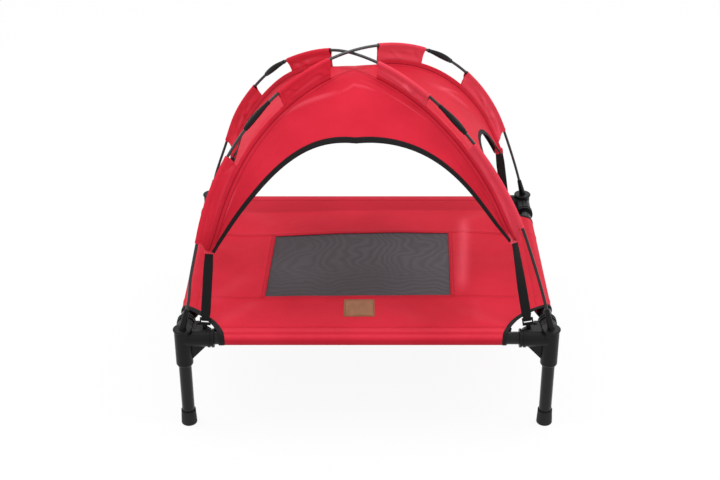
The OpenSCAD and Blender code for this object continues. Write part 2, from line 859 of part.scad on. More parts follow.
function sleeve_outside(sx, sy, a) =
    let (
        r = pole_d / 2 + sleeve_gap + sleeve_t,
        neck = acos(strip_t / 2 / r),
        edge = strip_edge(sx, sy, a),
        side = seam_side(sx, sy) * strip_t / 2
    )
    concat(
        [edge + side],
        [for (k = [0 : sleeve_bend]) round_rod(sx, sy, a, r, mix(-neck, 180 + neck, k / sleeve_bend))],
        [edge - side]
    );

function sleeve_inside(sx, sy, a) =
    let (last = sleeve_bend + 2)
    [for (k = [0 : last])
        round_rod(sx, sy, a, pole_d / 2 + sleeve_gap, mix(bore_low - 90, 270 - bore_low, k / last))];

// How far each lower sleeve has crept up its rod, in degrees: its lower end, its upper end
function creep(sx, sy) = sy > 0 ? [0, 0] : sx > 0 ? [6, 2] : [0, -3];

module sleeve(sx, sy) {
    color(FABRIC)
        for (span = [[sleeve_foot, opening_foot] + creep(sx, sy), [opening_top, 90 - crown_opening]]) {
            places = steps(span[0], span[1]);
            sweep_tube(
                [for (a = places) sleeve_outside(sx, sy, a)],
                [for (a = places) sleeve_inside(sx, sy, a)]
            );
        }
}

// ---------------------------------------------------------------- tie-down straps

// A strap runs from its hook's tongue, over a strap eye, up to the canopy's corner tip
function eye_point(sx, sy) = [sx * (half_x - eye_along), sy * (half_y - eye_across), web_top + neck_rise];
function strap_head(sx, sy) = seam_point(sx, sy, tip_at) - [sx * tip_half / 2, 0, tip_gap + canopy_t / 2];
// Length of a hook's neck below its buckle frame
neck_len = 5;

// Turns +Z along the strap, with +X kept level with the front of the bed
module on_strap(sx, sy) {
    line = strap_head(sx, sy) - eye_point(sx, sy);
    dir = unit(line);
    translate(eye_point(sx, sy))
        rotate([-asin(dir[1]), atan2(dir[0], dir[2]), 0])
            children();
}

module strap(sx, sy) {
    start = neck_len + buckle_h;
    length = norm(strap_head(sx, sy) - eye_point(sx, sy)) - start;
    color(BLACK_CLOTH)
        on_strap(sx, sy)
            translate([-strap_w / 2, -strap_t / 2, start]) cube([strap_w, strap_t, length]);
}

// A buckle frame with a slot for the strap, a neck, and a tongue hooked under the web
slot_h = 4;
slot_side = 3;
// Reach of the tongue under the web
tongue_foot = 9;

module hook(sx, sy) {
    eye = eye_point(sx, sy);
    under = web_top - web_t;
    color(PLASTIC) {
        on_strap(sx, sy)
            difference() {
                union() {
                    translate([-neck_w / 2, -hook_t / 2, -hook_t / 2])
                        cube([neck_w, hook_t, neck_len + hook_t]);
                    translate([-buckle_w / 2, -hook_t / 2, neck_len]) cube([buckle_w, hook_t, buckle_h]);
                }
                translate([slot_side - buckle_w / 2, -hook_t, neck_len + (buckle_h - slot_h) / 2])
                    cube([buckle_w - 2 * slot_side, 2 * hook_t, slot_h]);
            }
        translate([eye[0], eye[1], under - tongue_d])
            cylinder(h = eye[2] - under + tongue_d, d = tongue_d);
        translate([eye[0], eye[1], under - tongue_d / 2])
            rotate([sy * 90, 0, 0]) cylinder(h = tongue_foot, d = tongue_d);
    }
}

// ---------------------------------------------------------------- the pieces

rail_x(-1);  // rail_front
rail_x(1);  // rail_back
rail_y(-1);  // rail_left
rail_y(1);  // rail_right

corner_connector(-1, -1);  // corner_front_left
corner_connector(1, -1);  // corner_front_right
corner_connector(-1, 1);  // corner_back_left
corner_connector(1, 1);  // corner_back_right

leg(-1, -1);  // leg_front_left
leg(1, -1);  // leg_front_right
leg(-1, 1);  // leg_back_left
leg(1, 1);  // leg_back_right

foot(-1, -1);  // foot_front_left
foot(1, -1);  // foot_front_right
foot(-1, 1);  // foot_back_left
foot(1, 1);  // foot_back_right

bed_fabric();
mesh_panel();
corner_bindings();
label_patch();

color(ROD_GREY) rod_front(rod_a);  // pole_a_front
color(ROD_GREY) rod_middle(rod_a);  // pole_a_middle
color(ROD_GREY) rod_back(rod_a);  // pole_a_back
color(ROD_DARK) rod_front(rod_b);  // pole_b_front
color(ROD_DARK) rod_middle(rod_b);  // pole_b_middle
color(ROD_DARK) rod_back(rod_b);  // pole_b_back

ferrule(rod_a, ferrule_front_at);  // ferrule_front_left
ferrule(rod_b, ferrule_front_at);  // ferrule_front_right
ferrule(rod_b, 180 - ferrule_back_at);  // ferrule_back_left
ferrule(rod_a, 180 - ferrule_back_at);  // ferrule_back_right

pole_tip(-1, -1);  // pole_tip_front_left
pole_tip(1, -1);  // pole_tip_front_right
pole_tip(-1, 1);  // pole_tip_back_left
pole_tip(1, 1);  // pole_tip_back_right

panel(0, -1, main_arch_rise);  // canopy_front
panel(0, 1, main_arch_rise);  // canopy_back
panel(1, -1, side_arch_rise);  // canopy_left
panel(1, 1, side_arch_rise);  // canopy_right

arch_binding(0, -1, main_arch_rise);  // arch_binding_front
arch_binding(0, 1, main_arch_rise);  // arch_binding_back
arch_binding(1, -1, side_arch_rise);  // arch_binding_left
arch_binding(1, 1, side_arch_rise);  // arch_binding_right

seam_strip(-1, -1);  // seam_strip_front_left
seam_strip(1, -1);  // seam_strip_front_right
seam_strip(-1, 1);  // seam_strip_back_left
seam_strip(1, 1);  // seam_strip_back_right

sleeve(-1, -1);  // sleeve_front_left
sleeve(1, -1);  // sleeve_front_right
sleeve(-1, 1);  // sleeve_back_left
sleeve(1, 1);  // sleeve_back_right

strap(-1, -1);  // strap_front_left
strap(1, -1);  // strap_front_right
strap(-1, 1);  // strap_back_left
strap(1, 1);  // strap_back_right

hook(-1, -1);  // hook_front_left
hook(1, -1);  // hook_front_right
hook(-1, 1);  // hook_back_left
hook(1, 1);  // hook_back_right
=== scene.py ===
# %% [markdown]
# # A raised pet bed with a dome canopy
#
# The real object is a bench: four rails and four legs push into moulded corners, and a cloth
# cover is stretched over the rails. Two bent rods stand in the corners and carry a dome of cloth,
# which is strapped down at its four tips.
#
# The tubes, corners, feet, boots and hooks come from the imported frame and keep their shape, so
# this lesson only gives them their finish. It builds the soft pieces anew: cover, mesh, label,
# canopy, tapes, straps and stitches, and the rods and their joints, which are rounder here.
# All lengths are in metres. +Z is up, +Y is the back, and the origin is on the floor.

# %% Load the frame
import math
from contextlib import contextmanager

import bpy
import numpy as np
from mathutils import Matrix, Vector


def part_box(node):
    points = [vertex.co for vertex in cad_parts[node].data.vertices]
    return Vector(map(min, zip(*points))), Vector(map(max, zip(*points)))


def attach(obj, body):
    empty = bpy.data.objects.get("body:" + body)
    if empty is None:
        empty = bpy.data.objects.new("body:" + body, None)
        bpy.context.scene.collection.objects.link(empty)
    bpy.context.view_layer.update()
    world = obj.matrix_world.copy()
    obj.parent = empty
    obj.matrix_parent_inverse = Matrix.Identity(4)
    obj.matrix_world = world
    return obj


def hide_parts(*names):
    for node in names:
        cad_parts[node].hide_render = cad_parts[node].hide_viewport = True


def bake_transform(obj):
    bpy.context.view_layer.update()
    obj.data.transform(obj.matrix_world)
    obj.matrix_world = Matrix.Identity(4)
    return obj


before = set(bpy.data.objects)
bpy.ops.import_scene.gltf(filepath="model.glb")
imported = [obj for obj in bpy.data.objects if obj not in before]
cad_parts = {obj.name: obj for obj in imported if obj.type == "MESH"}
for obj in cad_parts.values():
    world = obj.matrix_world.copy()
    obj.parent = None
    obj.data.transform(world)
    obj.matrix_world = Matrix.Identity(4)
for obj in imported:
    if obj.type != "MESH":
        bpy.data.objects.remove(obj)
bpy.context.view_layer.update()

# %% [markdown]
# ## Measures
#
# A length is read from the frame's own pieces wherever a piece shows it. The few that no piece
# shows, such as how far a rod leans at its foot, are named here with the real object's value.

# %% Measures from the frame
MM = 0.001


def middle(node):
    """The middle of a frame piece's box."""
    low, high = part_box(node)
    return (low + high) / 2


def sides(node):
    """The sides of a frame piece's box."""
    low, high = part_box(node)
    return high - low


HALF_X = middle("leg_front_right").x
HALF_Y = middle("leg_back_right").y
RAIL_Z = middle("rail_front").z
TUBE_R = sides("rail_front").z / 2
SEAT_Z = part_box("corner_front_right")[1].z
ROD_R = 3 * MM
CROWN_RISE = 468 * MM
APEX_Z = SEAT_Z + CROWN_RISE
CORNERS = {
    "front_left": (-1, -1), "front_right": (1, -1), "back_left": (-1, 1), "back_right": (1, 1),
}
print("leg axes", round(2 * HALF_X, 4), "by", round(2 * HALF_Y, 4), "and crown", round(APEX_Z, 4))

# %% [markdown]
# ## The view
#
# A long lens looks down on the bed from the front. With a long lens the legs stay nearly
# parallel, as in a catalogue picture.

# %% Camera
LOOK_DOWN = math.radians(29.31)
CAMERA_AT = (0, -2.5553, 1.6998)
SENSOR, LENS = 36, 68.66  # millimetres
ASIDE = -0.0094  # the view's shift, as a share of its width: the bed stands right of the middle

bpy.ops.object.select_all(action="DESELECT")
bpy.ops.object.camera_add(location=CAMERA_AT, rotation=(math.pi / 2 - LOOK_DOWN, 0, 0))
camera = bpy.context.object
camera.data.sensor_width = SENSOR
camera.data.lens = LENS
camera.data.shift_x = ASIDE
bpy.context.scene.camera = camera
print("camera at", [round(c, 3) for c in camera.location])

# %% [markdown]
# ## A short way to write materials
#
# A material is a net of small sums. Written node by node it is hard to read, so two helpers let
# it be written as Python. A Wire is one value in the net, and + - * on wires add Math nodes.
# A Finish is one material, and its node() adds any other node: its settings, then its sockets.

# %% Wire and Finish
class Wire:
    """One value in a material. Arithmetic on wires and numbers adds the Math nodes."""

    def __init__(self, finish, socket):
        self.finish = finish
        self.socket = socket

    def math(self, operation, *values):
        return self.finish.node("ShaderNodeMath", {"operation": operation}, values)

    def __add__(self, other):
        return self.math("ADD", self, other)

    def __sub__(self, other):
        return self.math("SUBTRACT", self, other)

    def __rsub__(self, other):
        return self.math("SUBTRACT", other, self)

    def __mul__(self, other):
        return self.math("MULTIPLY", self, other)

    __radd__ = __add__
    __rmul__ = __mul__

    def sine(self):
        return self.math("SINE", self)

    def size(self):
        return self.math("ABSOLUTE", self)

    def ramp(self, low, high, to_low=0.0, to_high=1.0):
        """A smooth step from to_low, at low and under, to to_high, at high and over."""
        settings = {"interpolation_type": "SMOOTHSTEP"}
        return self.finish.node("ShaderNodeMapRange", settings, (self, low, high, to_low, to_high))


class Finish:
    """One material, built from wires."""

    def __init__(self, name, roughness=0.5, **constants):
        self.material = bpy.data.materials.new(name)
        self.material.use_nodes = True
        self.tree = self.material.node_tree
        self.shader = self.tree.nodes["Principled BSDF"]
        self.set(roughness=roughness, **constants)

    def set(self, **sockets):
        """Sets or links the shader's own sockets, named in lower case with underscores."""
        for key, value in sockets.items():
            self.join(self.shader.inputs[key.replace("_", " ").title().replace("Ior", "IOR")], value)

    def join(self, socket, value):
        if isinstance(value, Wire):
            self.tree.links.new(value.socket, socket)
        else:
            socket.default_value = value

    def node(self, kind, settings=None, sockets=(), out=0):
        """Adds a node: its settings first, then its sockets by place or by name."""
        made = self.tree.nodes.new(kind)
        for key, value in (settings or {}).items():
            setattr(made, key, value)
        pairs = sockets.items() if isinstance(sockets, dict) else enumerate(sockets)
        for key, value in pairs:
            self.join(made.inputs[key], value)
        return Wire(self, made.outputs[out])

    def place(self):
        """The point on the piece, in metres."""
        return self.node("ShaderNodeTexCoord", out="Object")

    def across_and_along(self):
        """The place in the cloth's own weave, in metres, from the piece's UV map."""
        uv = self.node("ShaderNodeTexCoord", out="UV")
        return [self.node("ShaderNodeSeparateXYZ", None, (uv,), out) for out in (0, 1)]

    def mark(self, name):
        """A value that the piece's own points carry, and 0 where a piece has none."""
        return self.node("ShaderNodeAttribute", {"attribute_name": name}, out=2)

    def noise(self, scale, detail=3, where=None, roughness=0.5):
        """Soft random values from 0 to 1; scale is spots to the metre."""
        sockets = {"Vector": where or self.place(), "Scale": scale, "Detail": detail}
        return self.node("ShaderNodeTexNoise", None, sockets | {"Roughness": roughness})

    def stretched(self, *scale):
        """The point on the piece, with each axis scaled."""
        return self.node("ShaderNodeMapping", None, {"Vector": self.place(), "Scale": scale})

    def blend(self, share, first, second):
        """A colour between two colours."""
        settings = {"data_type": "RGBA"}
        return self.node("ShaderNodeMix", settings, {0: share, 6: first, 7: second}, out=2)

    def relief(self, height, depth):
        """A bumpy normal from a height of 0 to 1, as deep as depth in metres."""
        return self.node("ShaderNodeBump", None, {"Strength": 1.0, "Distance": depth, "Height": height})


def linear(red, green, blue):
    """A colour as it looks, 0 to 255, as the linear value that a shader takes."""
    shares = [c / 255 for c in (red, green, blue)]
    return [c / 12.92 if c <= 0.04045 else ((c + 0.055) / 1.055) ** 2.4 for c in shares] + [1]


print("red cloth is", [round(c, 3) for c in linear(206, 38, 58)])

# %% [markdown]
# ## The studio
#
# The floor is one large pale sheet that takes the legs' soft shadows. A light of its own, which
# only the camera and clear or mirror-like surfaces see, lifts it to paper white. The sky is white
# to the camera too, and a little dimmer to the bed. Two wide lamps high on the right and on the
# left light the cloth almost evenly. Two weak ones in front fill the shadows, and one behind
# lights the far side.

# %% Floor
FLOOR_SIDE = 30
PAPER_GLOW = 0.92
bpy.ops.object.select_all(action="DESELECT")
bpy.ops.mesh.primitive_plane_add(size=FLOOR_SIDE)
floor = bpy.context.object
floor.name = "studio_floor"
paper = Finish("paper_white_floor", 0.9, base_color=(0.82, 0.82, 0.82, 1), specular_ior_level=0.1)
seen = paper.node("ShaderNodeLightPath", out="Is Camera Ray")
mirrored = paper.node("ShaderNodeLightPath", out="Is Glossy Ray")
through = paper.node("ShaderNodeLightPath", out="Is Transmission Ray")
glow = paper.node("ShaderNodeEmission", None, {"Color": (1, 1, 1, 1), "Strength": 1.0})
lit = paper.node("ShaderNodeMixShader", None, {0: (seen + mirrored + through) * PAPER_GLOW})
paper.join(lit.socket.node.inputs[1], Wire(paper, paper.shader.outputs[0]))
paper.join(lit.socket.node.inputs[2], glow)
paper.join(paper.tree.nodes["Material Output"].inputs["Surface"], lit)
floor.data.materials.append(paper.material)
print(floor.name, "is", FLOOR_SIDE, "metres a side")

# %% Lamps
BED_HEART = (0, 0, 0.35)
# Where each lamp stands, its side in metres and its watts
LAMPS = {
    "key_lamp": ((1.7, 0.0, 2.6), 1.9, 38), "left_lamp": ((-1.7, 0.0, 2.6), 1.9, 33),
    "fill_lamp": ((-1.7, -2.4, 2.0), 2.0, 9), "front_lamp": ((1.8, -2.3, 2.0), 2.0, 11),
    "back_lamp": ((0.2, 2.4, 2.2), 1.8, 12),
}


def lamp(name, spot, side, watts):
    """A square lamp at a spot, turned to face the heart of the bed."""
    x, y, z = np.subtract(spot, BED_HEART)
    turn = (math.atan2(math.hypot(x, y), z), 0, math.atan2(x, -y))
    bpy.ops.object.light_add(type="AREA", location=spot, rotation=turn)
    made = bpy.context.object
    made.name = name
    made.data.size = side
    made.data.energy = watts


for name, (spot, side, watts) in LAMPS.items():
    lamp(name, spot, side, watts)
print("lamps:", list(LAMPS))

# %% Sky
SKY_LIGHT = 0.75
sky = bpy.data.worlds.new("studio_sky")
bpy.context.scene.world = sky
sky.use_nodes = True
tree = sky.node_tree
backdrop = tree.nodes["Background"]
backdrop.inputs["Color"].default_value = (1, 1, 1, 1)
paths = tree.nodes.new("ShaderNodeLightPath")
brighter = tree.nodes.new("ShaderNodeMath")
brighter.operation = "MULTIPLY_ADD"
brighter.inputs[1].default_value = 1 - SKY_LIGHT
brighter.inputs[2].default_value = SKY_LIGHT
tree.links.new(paths.outputs["Is Camera Ray"], brighter.inputs[0])
tree.links.new(brighter.outputs[0], backdrop.inputs["Strength"])
bpy.context.scene.view_settings.view_transform = "Standard"
print("the sky lights the bed at", SKY_LIGHT)

# %% [markdown]
# ## Cloth finishes
#
# The bed is sewn from a coated polyester. Close up it is a plain weave of half-millimetre
# threads. From further off it shows only as a soft sheen and slightly uneven colour, with broad
# shallow creases. The weave follows each piece's UV map, which is laid out in metres, so that it
# runs round bends with the cloth. The uneven colour follows the point in space. Painted light is
# marked on the points of each piece: painted highlight on ridges, rolled bends and lit places, and
# painted shade in seams, sewn lines and shaded bands. The finish reads the marks.

# %% Red polyester
def woven(finish, thread):
    """The height of a plain weave, 0 to 1: threads cross over and under each other."""
    across, along = finish.across_and_along()
    turn = math.pi / thread
    return (across * turn).sine() * (along * turn).sine() * 0.5 + 0.5


def cloth_finish(name, colour, shade, thread=0.55 * MM, roughness=0.6):
    """A woven cloth that varies between a colour and a shade of it. It is painted paler and pinker
    where its piece is marked with painted highlight, and darker where it is marked with painted shade."""
    made = Finish(name, sheen_weight=0.02, sheen_roughness=0.4, specular_ior_level=0.05)
    weave = woven(made, thread)
    patches = made.noise(7, detail=4)
    plain = made.blend((patches.ramp(0.3, 0.72) * 0.8 + weave * 0.2), shade, colour)
    # Painted light: a darker red where a piece marks painted shade, and a pale pink red where it marks
    # painted highlight
    dark = made.blend(made.mark("doubled"), plain, linear(132, 12, 28))
    made.set(
        base_color=made.blend(made.mark("rubbed"), dark, linear(238, 96, 114)),
        roughness=patches * 0.16 + roughness - 0.08,
    )
    creases = made.noise(34, detail=2)
    made.set(normal=made.relief(weave * 0.03 + creases, 1.2 * MM))
    return made.material


RED_CLOTH = cloth_finish("red_polyester", linear(206, 41, 60), linear(190, 33, 50))
RED_THREAD = cloth_finish("red_thread", linear(176, 26, 42), linear(150, 20, 34), 0.3 * MM)
BROWN_THREAD = cloth_finish("brown_thread", linear(84, 52, 36), linear(66, 40, 28), 0.3 * MM)
print("cloth finishes:", RED_CLOTH.name, RED_THREAD.name, BROWN_THREAD.name)

# %% Black tape and webbing
def ribbed_finish(name, colour, rib, depth, roughness=0.75):
    """A woven tape with ribs across its length."""
    made = Finish(name, roughness, sheen_weight=0.04, specular_ior_level=0.16)
    across, along = made.across_and_along()
    ribs = (along * (2 * math.pi / rib)).sine() * 0.5 + 0.5
    threads = (across * (2 * math.pi / (rib * 0.6))).sine() * 0.5 + 0.5
    fuzz = made.noise(420, detail=2)
    shade = [c * 0.6 for c in colour[:3]] + [1]
    made.set(base_color=made.blend(ribs * 0.5 + fuzz * 0.5, shade, colour))
    made.set(normal=made.relief(ribs * 0.7 + threads * 0.3, depth))
    return made.material


BLACK_TAPE = ribbed_finish("black_binding_tape", linear(27, 24, 26), 1.1 * MM, 0.25 * MM)
BLACK_WEBBING = ribbed_finish("black_elastic_webbing", linear(24, 24, 26), 1.6 * MM, 0.4 * MM)
BLACK_THREAD = ribbed_finish("black_thread", linear(40, 38, 40), 0.4 * MM, 0.1 * MM)
print("ribbed finishes:", BLACK_TAPE.name, BLACK_WEBBING.name, BLACK_THREAD.name)

# %% Grey mesh
# The strands' own pattern, then the broad ripples in which they show lighter and darker: bands
# at the front and fans at the back, each bent by soft noise
GAUGE = 1.5 * MM
mesh_finish = Finish("grey_mesh", 0.55, specular_ior_level=0.4)
across, along = mesh_finish.across_and_along()
strands, courses = [(way * (math.pi / GAUGE)).sine().size().ramp(0.25, 0.75) for way in (across, along)]
holes = strands * courses
drift = mesh_finish.noise(5.5, detail=2, where=mesh_finish.stretched(1.0, 1.6, 1.0))
swirl = mesh_finish.noise(9, detail=2, where=mesh_finish.stretched(1.0, 0.7, 1.0))
bands = (along * 430 + swirl * 46 + drift * 24).sine() * 0.5 + 0.5
fans = (across * 300 + swirl * 30 + drift * 60).sine() * 0.5 + 0.5
to_back = (along + drift * 0.08).ramp(0.08, 0.2)
silver = mesh_finish.noise(3, detail=2)
gentle = mesh_finish.noise(2.2, detail=1).ramp(0.3, 0.7) * 0.14 + 0.06
tone = (bands * (1 - to_back) + fans * to_back) * gentle + silver * 0.5 + 0.18
mesh_finish.set(
    base_color=mesh_finish.blend(
        holes * 0.55,
        mesh_finish.blend(tone.ramp(0.25, 0.75), linear(58, 51, 57), linear(96, 90, 98)),
        linear(46, 41, 45),
    )
)
mesh_finish.set(normal=mesh_finish.relief(1 - holes, 0.5 * MM))
GREY_MESH = mesh_finish.material
print("mesh gauge", GAUGE)

# %% [markdown]
# ## Hard finishes
#
# Black is not one material here. The corners are moulded nylon with a fine spark-etched skin,
# the tubes are powder-coated steel with a slight orange peel, and the feet are dull rubber.
# They differ in roughness and relief far more than in colour.

# %% Plastic, tube, rubber, rods
def hard_finish(name, colour, roughness, grain, depth, **constants):
    """A hard surface with a grain of so many spots to the metre, and uneven gloss."""
    made = Finish(name, **constants)
    wear = made.noise(28, detail=4)
    scuffs = made.noise(9, detail=6, where=made.stretched(1.0, 1.0, 5.0), roughness=0.7)
    fine = made.noise(grain, detail=2)
    pale = [min(1, c * 1.7 + 0.003) for c in colour[:3]] + [1]
    made.set(
        base_color=made.blend(scuffs.ramp(0.55, 0.8) * 0.4, colour, pale),
        roughness=wear * 0.14 + roughness - 0.07,
        normal=made.relief(fine, depth),
    )
    return made.material


BLACK_PLASTIC = hard_finish(
    "black_moulded_nylon", linear(15, 15, 17), 0.36, 1400, 0.10 * MM, specular_ior_level=0.17
)
BLACK_TUBE = hard_finish(
    "black_coated_tube", linear(17, 17, 18), 0.25, 420, 0.10 * MM,
    specular_ior_level=0.2, coat_weight=0.08, coat_roughness=0.22
)
BLACK_RUBBER = hard_finish(
    "black_rubber", linear(23, 23, 24), 0.6, 900, 0.12 * MM, specular_ior_level=0.24
)


def rod_finish(name, colour):
    """Drawn fibreglass: long fine streaks under a hard gloss."""
    made = Finish(name, 0.24, coat_weight=0.3, coat_roughness=0.1, specular_ior_level=0.3)
    across, along = made.across_and_along()
    lengthwise = made.node("ShaderNodeCombineXYZ", None, (across * 3000, along * 12, 0.0))
    streaks = made.noise(1, detail=3, where=lengthwise)
    dark = [c * 0.45 for c in colour[:3]] + [1]
    made.set(base_color=made.blend(streaks.ramp(0.3, 0.7), dark, colour))
    return made.material


ROD_GREY = rod_finish("grey_fibreglass", linear(40, 41, 43))
ROD_DARK = rod_finish("dark_fibreglass", linear(20, 21, 22))
print("hard finishes:", BLACK_PLASTIC.name, BLACK_TUBE.name, BLACK_RUBBER.name)

# %% Brown leather
leather = Finish("brown_leather", specular_ior_level=0.35)
pores = leather.node(
    "ShaderNodeTexVoronoi", {"feature": "DISTANCE_TO_EDGE"}, {"Vector": leather.place(), "Scale": 900}
)
tan_patches = leather.noise(60, detail=4)
leather.set(
    base_color=leather.blend(tan_patches.ramp(0.3, 0.7), linear(146, 98, 66), linear(164, 114, 80)),
    roughness=tan_patches * 0.2 + 0.5,
    normal=leather.relief(pores.ramp(0.0, 0.25) + tan_patches * 0.5, 0.25 * MM),
)
BROWN_LEATHER = leather.material
print("label finish:", BROWN_LEATHER.name)

# %% [markdown]
# ## Tools for cloth
#
# Cloth is laid out as a grid. The grid primitive gives the faces and a UV map in one go, and its
# points are then moved to rows of places worked out from the frame. A skin is such a grid: it can
# close on itself to make a tube or a folded tape, and its ends can be filled.

# %% Choose and edit a piece
def clear_choice():
    """Leaves nothing chosen."""
    bpy.ops.object.select_all(action="DESELECT")


def choose(piece):
    """Makes one piece the only chosen and the active one."""
    clear_choice()
    piece.select_set(True)
    bpy.context.view_layer.objects.active = piece


@contextmanager
def edit_mode(piece, action=None):
    """Edit mode on one piece, after all of it or none of it is selected where that is asked."""
    choose(piece)
    bpy.ops.object.mode_set(mode="EDIT")
    if action:
        bpy.ops.mesh.select_all(action=action)
    yield
    bpy.ops.object.mode_set(mode="OBJECT")


def weld(piece, within):
    """Merges the points of a piece that lie within a distance of each other."""
    with edit_mode(piece, "SELECT"):
        bpy.ops.mesh.remove_doubles(threshold=within)


def face_out(piece):
    """Turns the faces of a piece outwards."""
    with edit_mode(piece, "SELECT"):
        bpy.ops.mesh.normals_make_consistent(inside=False)


def fill_ends(piece):
    """Fills the open edges of a piece."""
    with edit_mode(piece, "DESELECT"):
        bpy.ops.mesh.select_non_manifold(extend=False, use_wire=False, use_multi_face=False,
                                         use_non_contiguous=False, use_verts=False)
        bpy.ops.mesh.fill_holes(sides=0)


def delete_parts(piece, kind, **numbers):
    """Deletes faces or edges of a piece, from the numbers of its vertices, edges or polygons."""
    with edit_mode(piece, "DESELECT"):
        pass  # leaving edit mode writes the empty choice to the mesh
    for parts, chosen in numbers.items():
        for number in chosen:
            getattr(piece.data, parts)[number].select = True
    with edit_mode(piece):
        bpy.ops.mesh.delete(type=kind)


print("edit mode helpers: weld, face_out, fill_ends, delete_parts")


# %% Lay a grid over rows of points
def steps_along(path):
    """The distances from each point of a path to the next."""
    return np.linalg.norm(np.diff(path, axis=0), axis=-1)


def added_up(steps):
    """The lengths run at each point, from the steps between them."""
    return np.concatenate([[0], np.cumsum(steps)])


def write_uv(piece, places):
    """Gives each point of a piece its place on the flat cloth."""
    corner = np.empty(len(piece.data.loops), int)
    piece.data.loops.foreach_get("vertex_index", corner)
    piece.data.uv_layers[0].data.foreach_set("uv", places.reshape(-1, 2)[corner].reshape(-1))


WELD = MM / 100


def skin(name, rows, wrapped=False, capped=False, **marks):
    """A grid primitive laid over rows of points, with its UV map in metres of cloth. A mark is a
    named value from 0 to 1 for each point, which a finish can read."""
    rows = np.asarray(rows, float)
    if wrapped:
        rows = np.concatenate([rows, rows[:, :1]], axis=1)
    tall, wide = rows.shape[:2]
    clear_choice()
    bpy.ops.mesh.primitive_grid_add(x_subdivisions=wide - 1, y_subdivisions=tall - 1, size=2)
    piece = bpy.context.object
    piece.name = name
    piece.data.name = name
    piece.data.vertices.foreach_set("co", rows.reshape(-1))
    for mark, values in marks.items():
        values = np.broadcast_to(values, (tall, wide - wrapped))
        values = np.concatenate([values, values[:, :1]], axis=1) if wrapped else values
        made = piece.data.attributes.new(mark, "FLOAT", "POINT")
        made.data.foreach_set("value", np.clip(values, 0, 1).astype(np.float32).reshape(-1))
    across, along = steps_along(rows.swapaxes(0, 1)).mean(1), steps_along(rows).mean(1)
    write_uv(piece, np.stack(np.meshgrid(added_up(across), added_up(along)), axis=2))
    piece.data.update()
    if wrapped or capped:
        weld(piece, WELD)
        if capped:
            fill_ends(piece)
        face_out(piece)
    return piece


print("a skin's points are welded within", WELD, "and a joined piece's within", 2 * WELD)


# %% Finish a piece
def add_modifier(piece, kind, **settings):
    """Adds a modifier and applies it."""
    choose(piece)
    made = piece.modifiers.new(kind.title(), kind)
    for key, value in settings.items():
        setattr(made, key, value)
    bpy.ops.object.modifier_apply(modifier=made.name)


def thicken(piece, thickness):
    """Gives a sheet its thickness, half to each side."""
    add_modifier(piece, "SOLIDIFY", thickness=thickness, offset=0, use_even_offset=True)


def join(name, pieces):
    """Joins pieces into one and welds the points that meet."""
    choose(pieces[0])
    for piece in pieces:
        piece.select_set(True)
    bpy.ops.object.join()
    whole = bpy.context.object
    whole.name = name
    whole.data.name = name
    weld(whole, 2 * WELD)
    return whole


SMOOTH_UNDER = math.radians(42)


def paint(piece, finish):
    """Gives a piece one material."""
    piece.data.materials.clear()
    piece.data.materials.append(finish)


def dress(piece, finish, slot, body, *nodes):
    """Gives a finished piece its material, the body it rides on and the nodes it stands for."""
    paint(piece, finish)
    choose(piece)
    bpy.ops.object.shade_smooth_by_angle(angle=SMOOTH_UNDER)
    if body:
        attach(piece, body)
    if nodes:
        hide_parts(*nodes)
    print(f"{piece.name}: {len(piece.data.polygons)} faces, {len(nodes)} nodes replaced")
    return piece


print("edges under", round(math.degrees(SMOOTH_UNDER)), "degrees are shaded smooth")

# %% [markdown]
# ## The curves that everything hangs on
#
# Each rod springs from a straight foot that leans inwards, into an arc over the middle. The
# canopy's seams run under the rods at a steady distance, and its four panels span between the
# seams. So one set of curves places the rods, the sleeves, the seams and the cloth.
# An angle is counted in degrees up a rod's arc, from level at 0 to the crown at 90.

# %% The bow of a rod
POLE_TILT = 19.2
CROWN_LEAN = -26 * MM
ROD_GAP = 0.6 * MM
BOOT_LEN = 40 * MM
LEAN_FROM = SEAT_Z + BOOT_LEN
SEAT_R = math.hypot(HALF_X, HALF_Y)
DIR_X = HALF_X / SEAT_R
DIR_Y = HALF_Y / SEAT_R


def smooth(share):
    """A share from 0 to 1 with soft ends."""
    share = np.clip(share, 0, 1)
    return share * share * (3 - 2 * share)


def bell(distance, width):
    """A soft bump of 1 at no distance, which fades over a width."""
    return np.exp(-(distance / width) ** 2)


def bow(apex):
    """The radius of a rod's arc and the height of its centre, from the height of its crown."""
    tilt = math.radians(POLE_TILT)
    radius = (SEAT_R - (apex - SEAT_Z) * math.tan(tilt)) / (1 / math.cos(tilt) - math.tan(tilt))
    return radius, apex - radius


UPPER_BOW = bow(APEX_Z)
LOWER_BOW = bow(APEX_Z - 2 * ROD_R - ROD_GAP)
print("arc radii", [round(b[0], 4) for b in (UPPER_BOW, LOWER_BOW)])


def bow_rz(arc, angle, inset=0.0):
    """Distance from the middle and height, at an angle up an arc and an inset inside it."""
    radius, centre = arc
    tilt = math.radians(POLE_TILT)
    down = np.radians(np.maximum(POLE_TILT - np.asarray(angle, float), 0)) * radius
    at = np.radians(np.maximum(angle, POLE_TILT))
    out = (radius - inset) * np.cos(at) + down * math.sin(tilt)
    return out, centre + (radius - inset) * np.sin(at) - down * math.cos(tilt)


def bow_angle(arc, z, inset=0.0):
    """The angle at which an inset arc reaches a height."""
    radius, centre = arc
    tilt = math.radians(POLE_TILT)
    inner = radius - inset
    foot = centre + inner * math.sin(tilt)
    above = np.degrees(np.arcsin(np.clip((z - centre) / inner, -1, 1)))
    below = POLE_TILT - np.degrees((foot - z) / math.cos(tilt) / radius)
    return np.where(z > foot, above, below)


def lean_at(z):
    """The crown's sideways lean, which grows with height."""
    return CROWN_LEAN * smooth((z - LEAN_FROM) / (APEX_Z - LEAN_FROM))


# %% Rods and seams
SEAM_INSET = 34 * MM
TIP_Z = SEAT_Z + 147 * MM
TIP_DRAW = (-7 * MM, 27 * MM)
DRAW_FROM = 26.0
TIP_AT = float(bow_angle(LOWER_BOW, TIP_Z, SEAM_INSET))


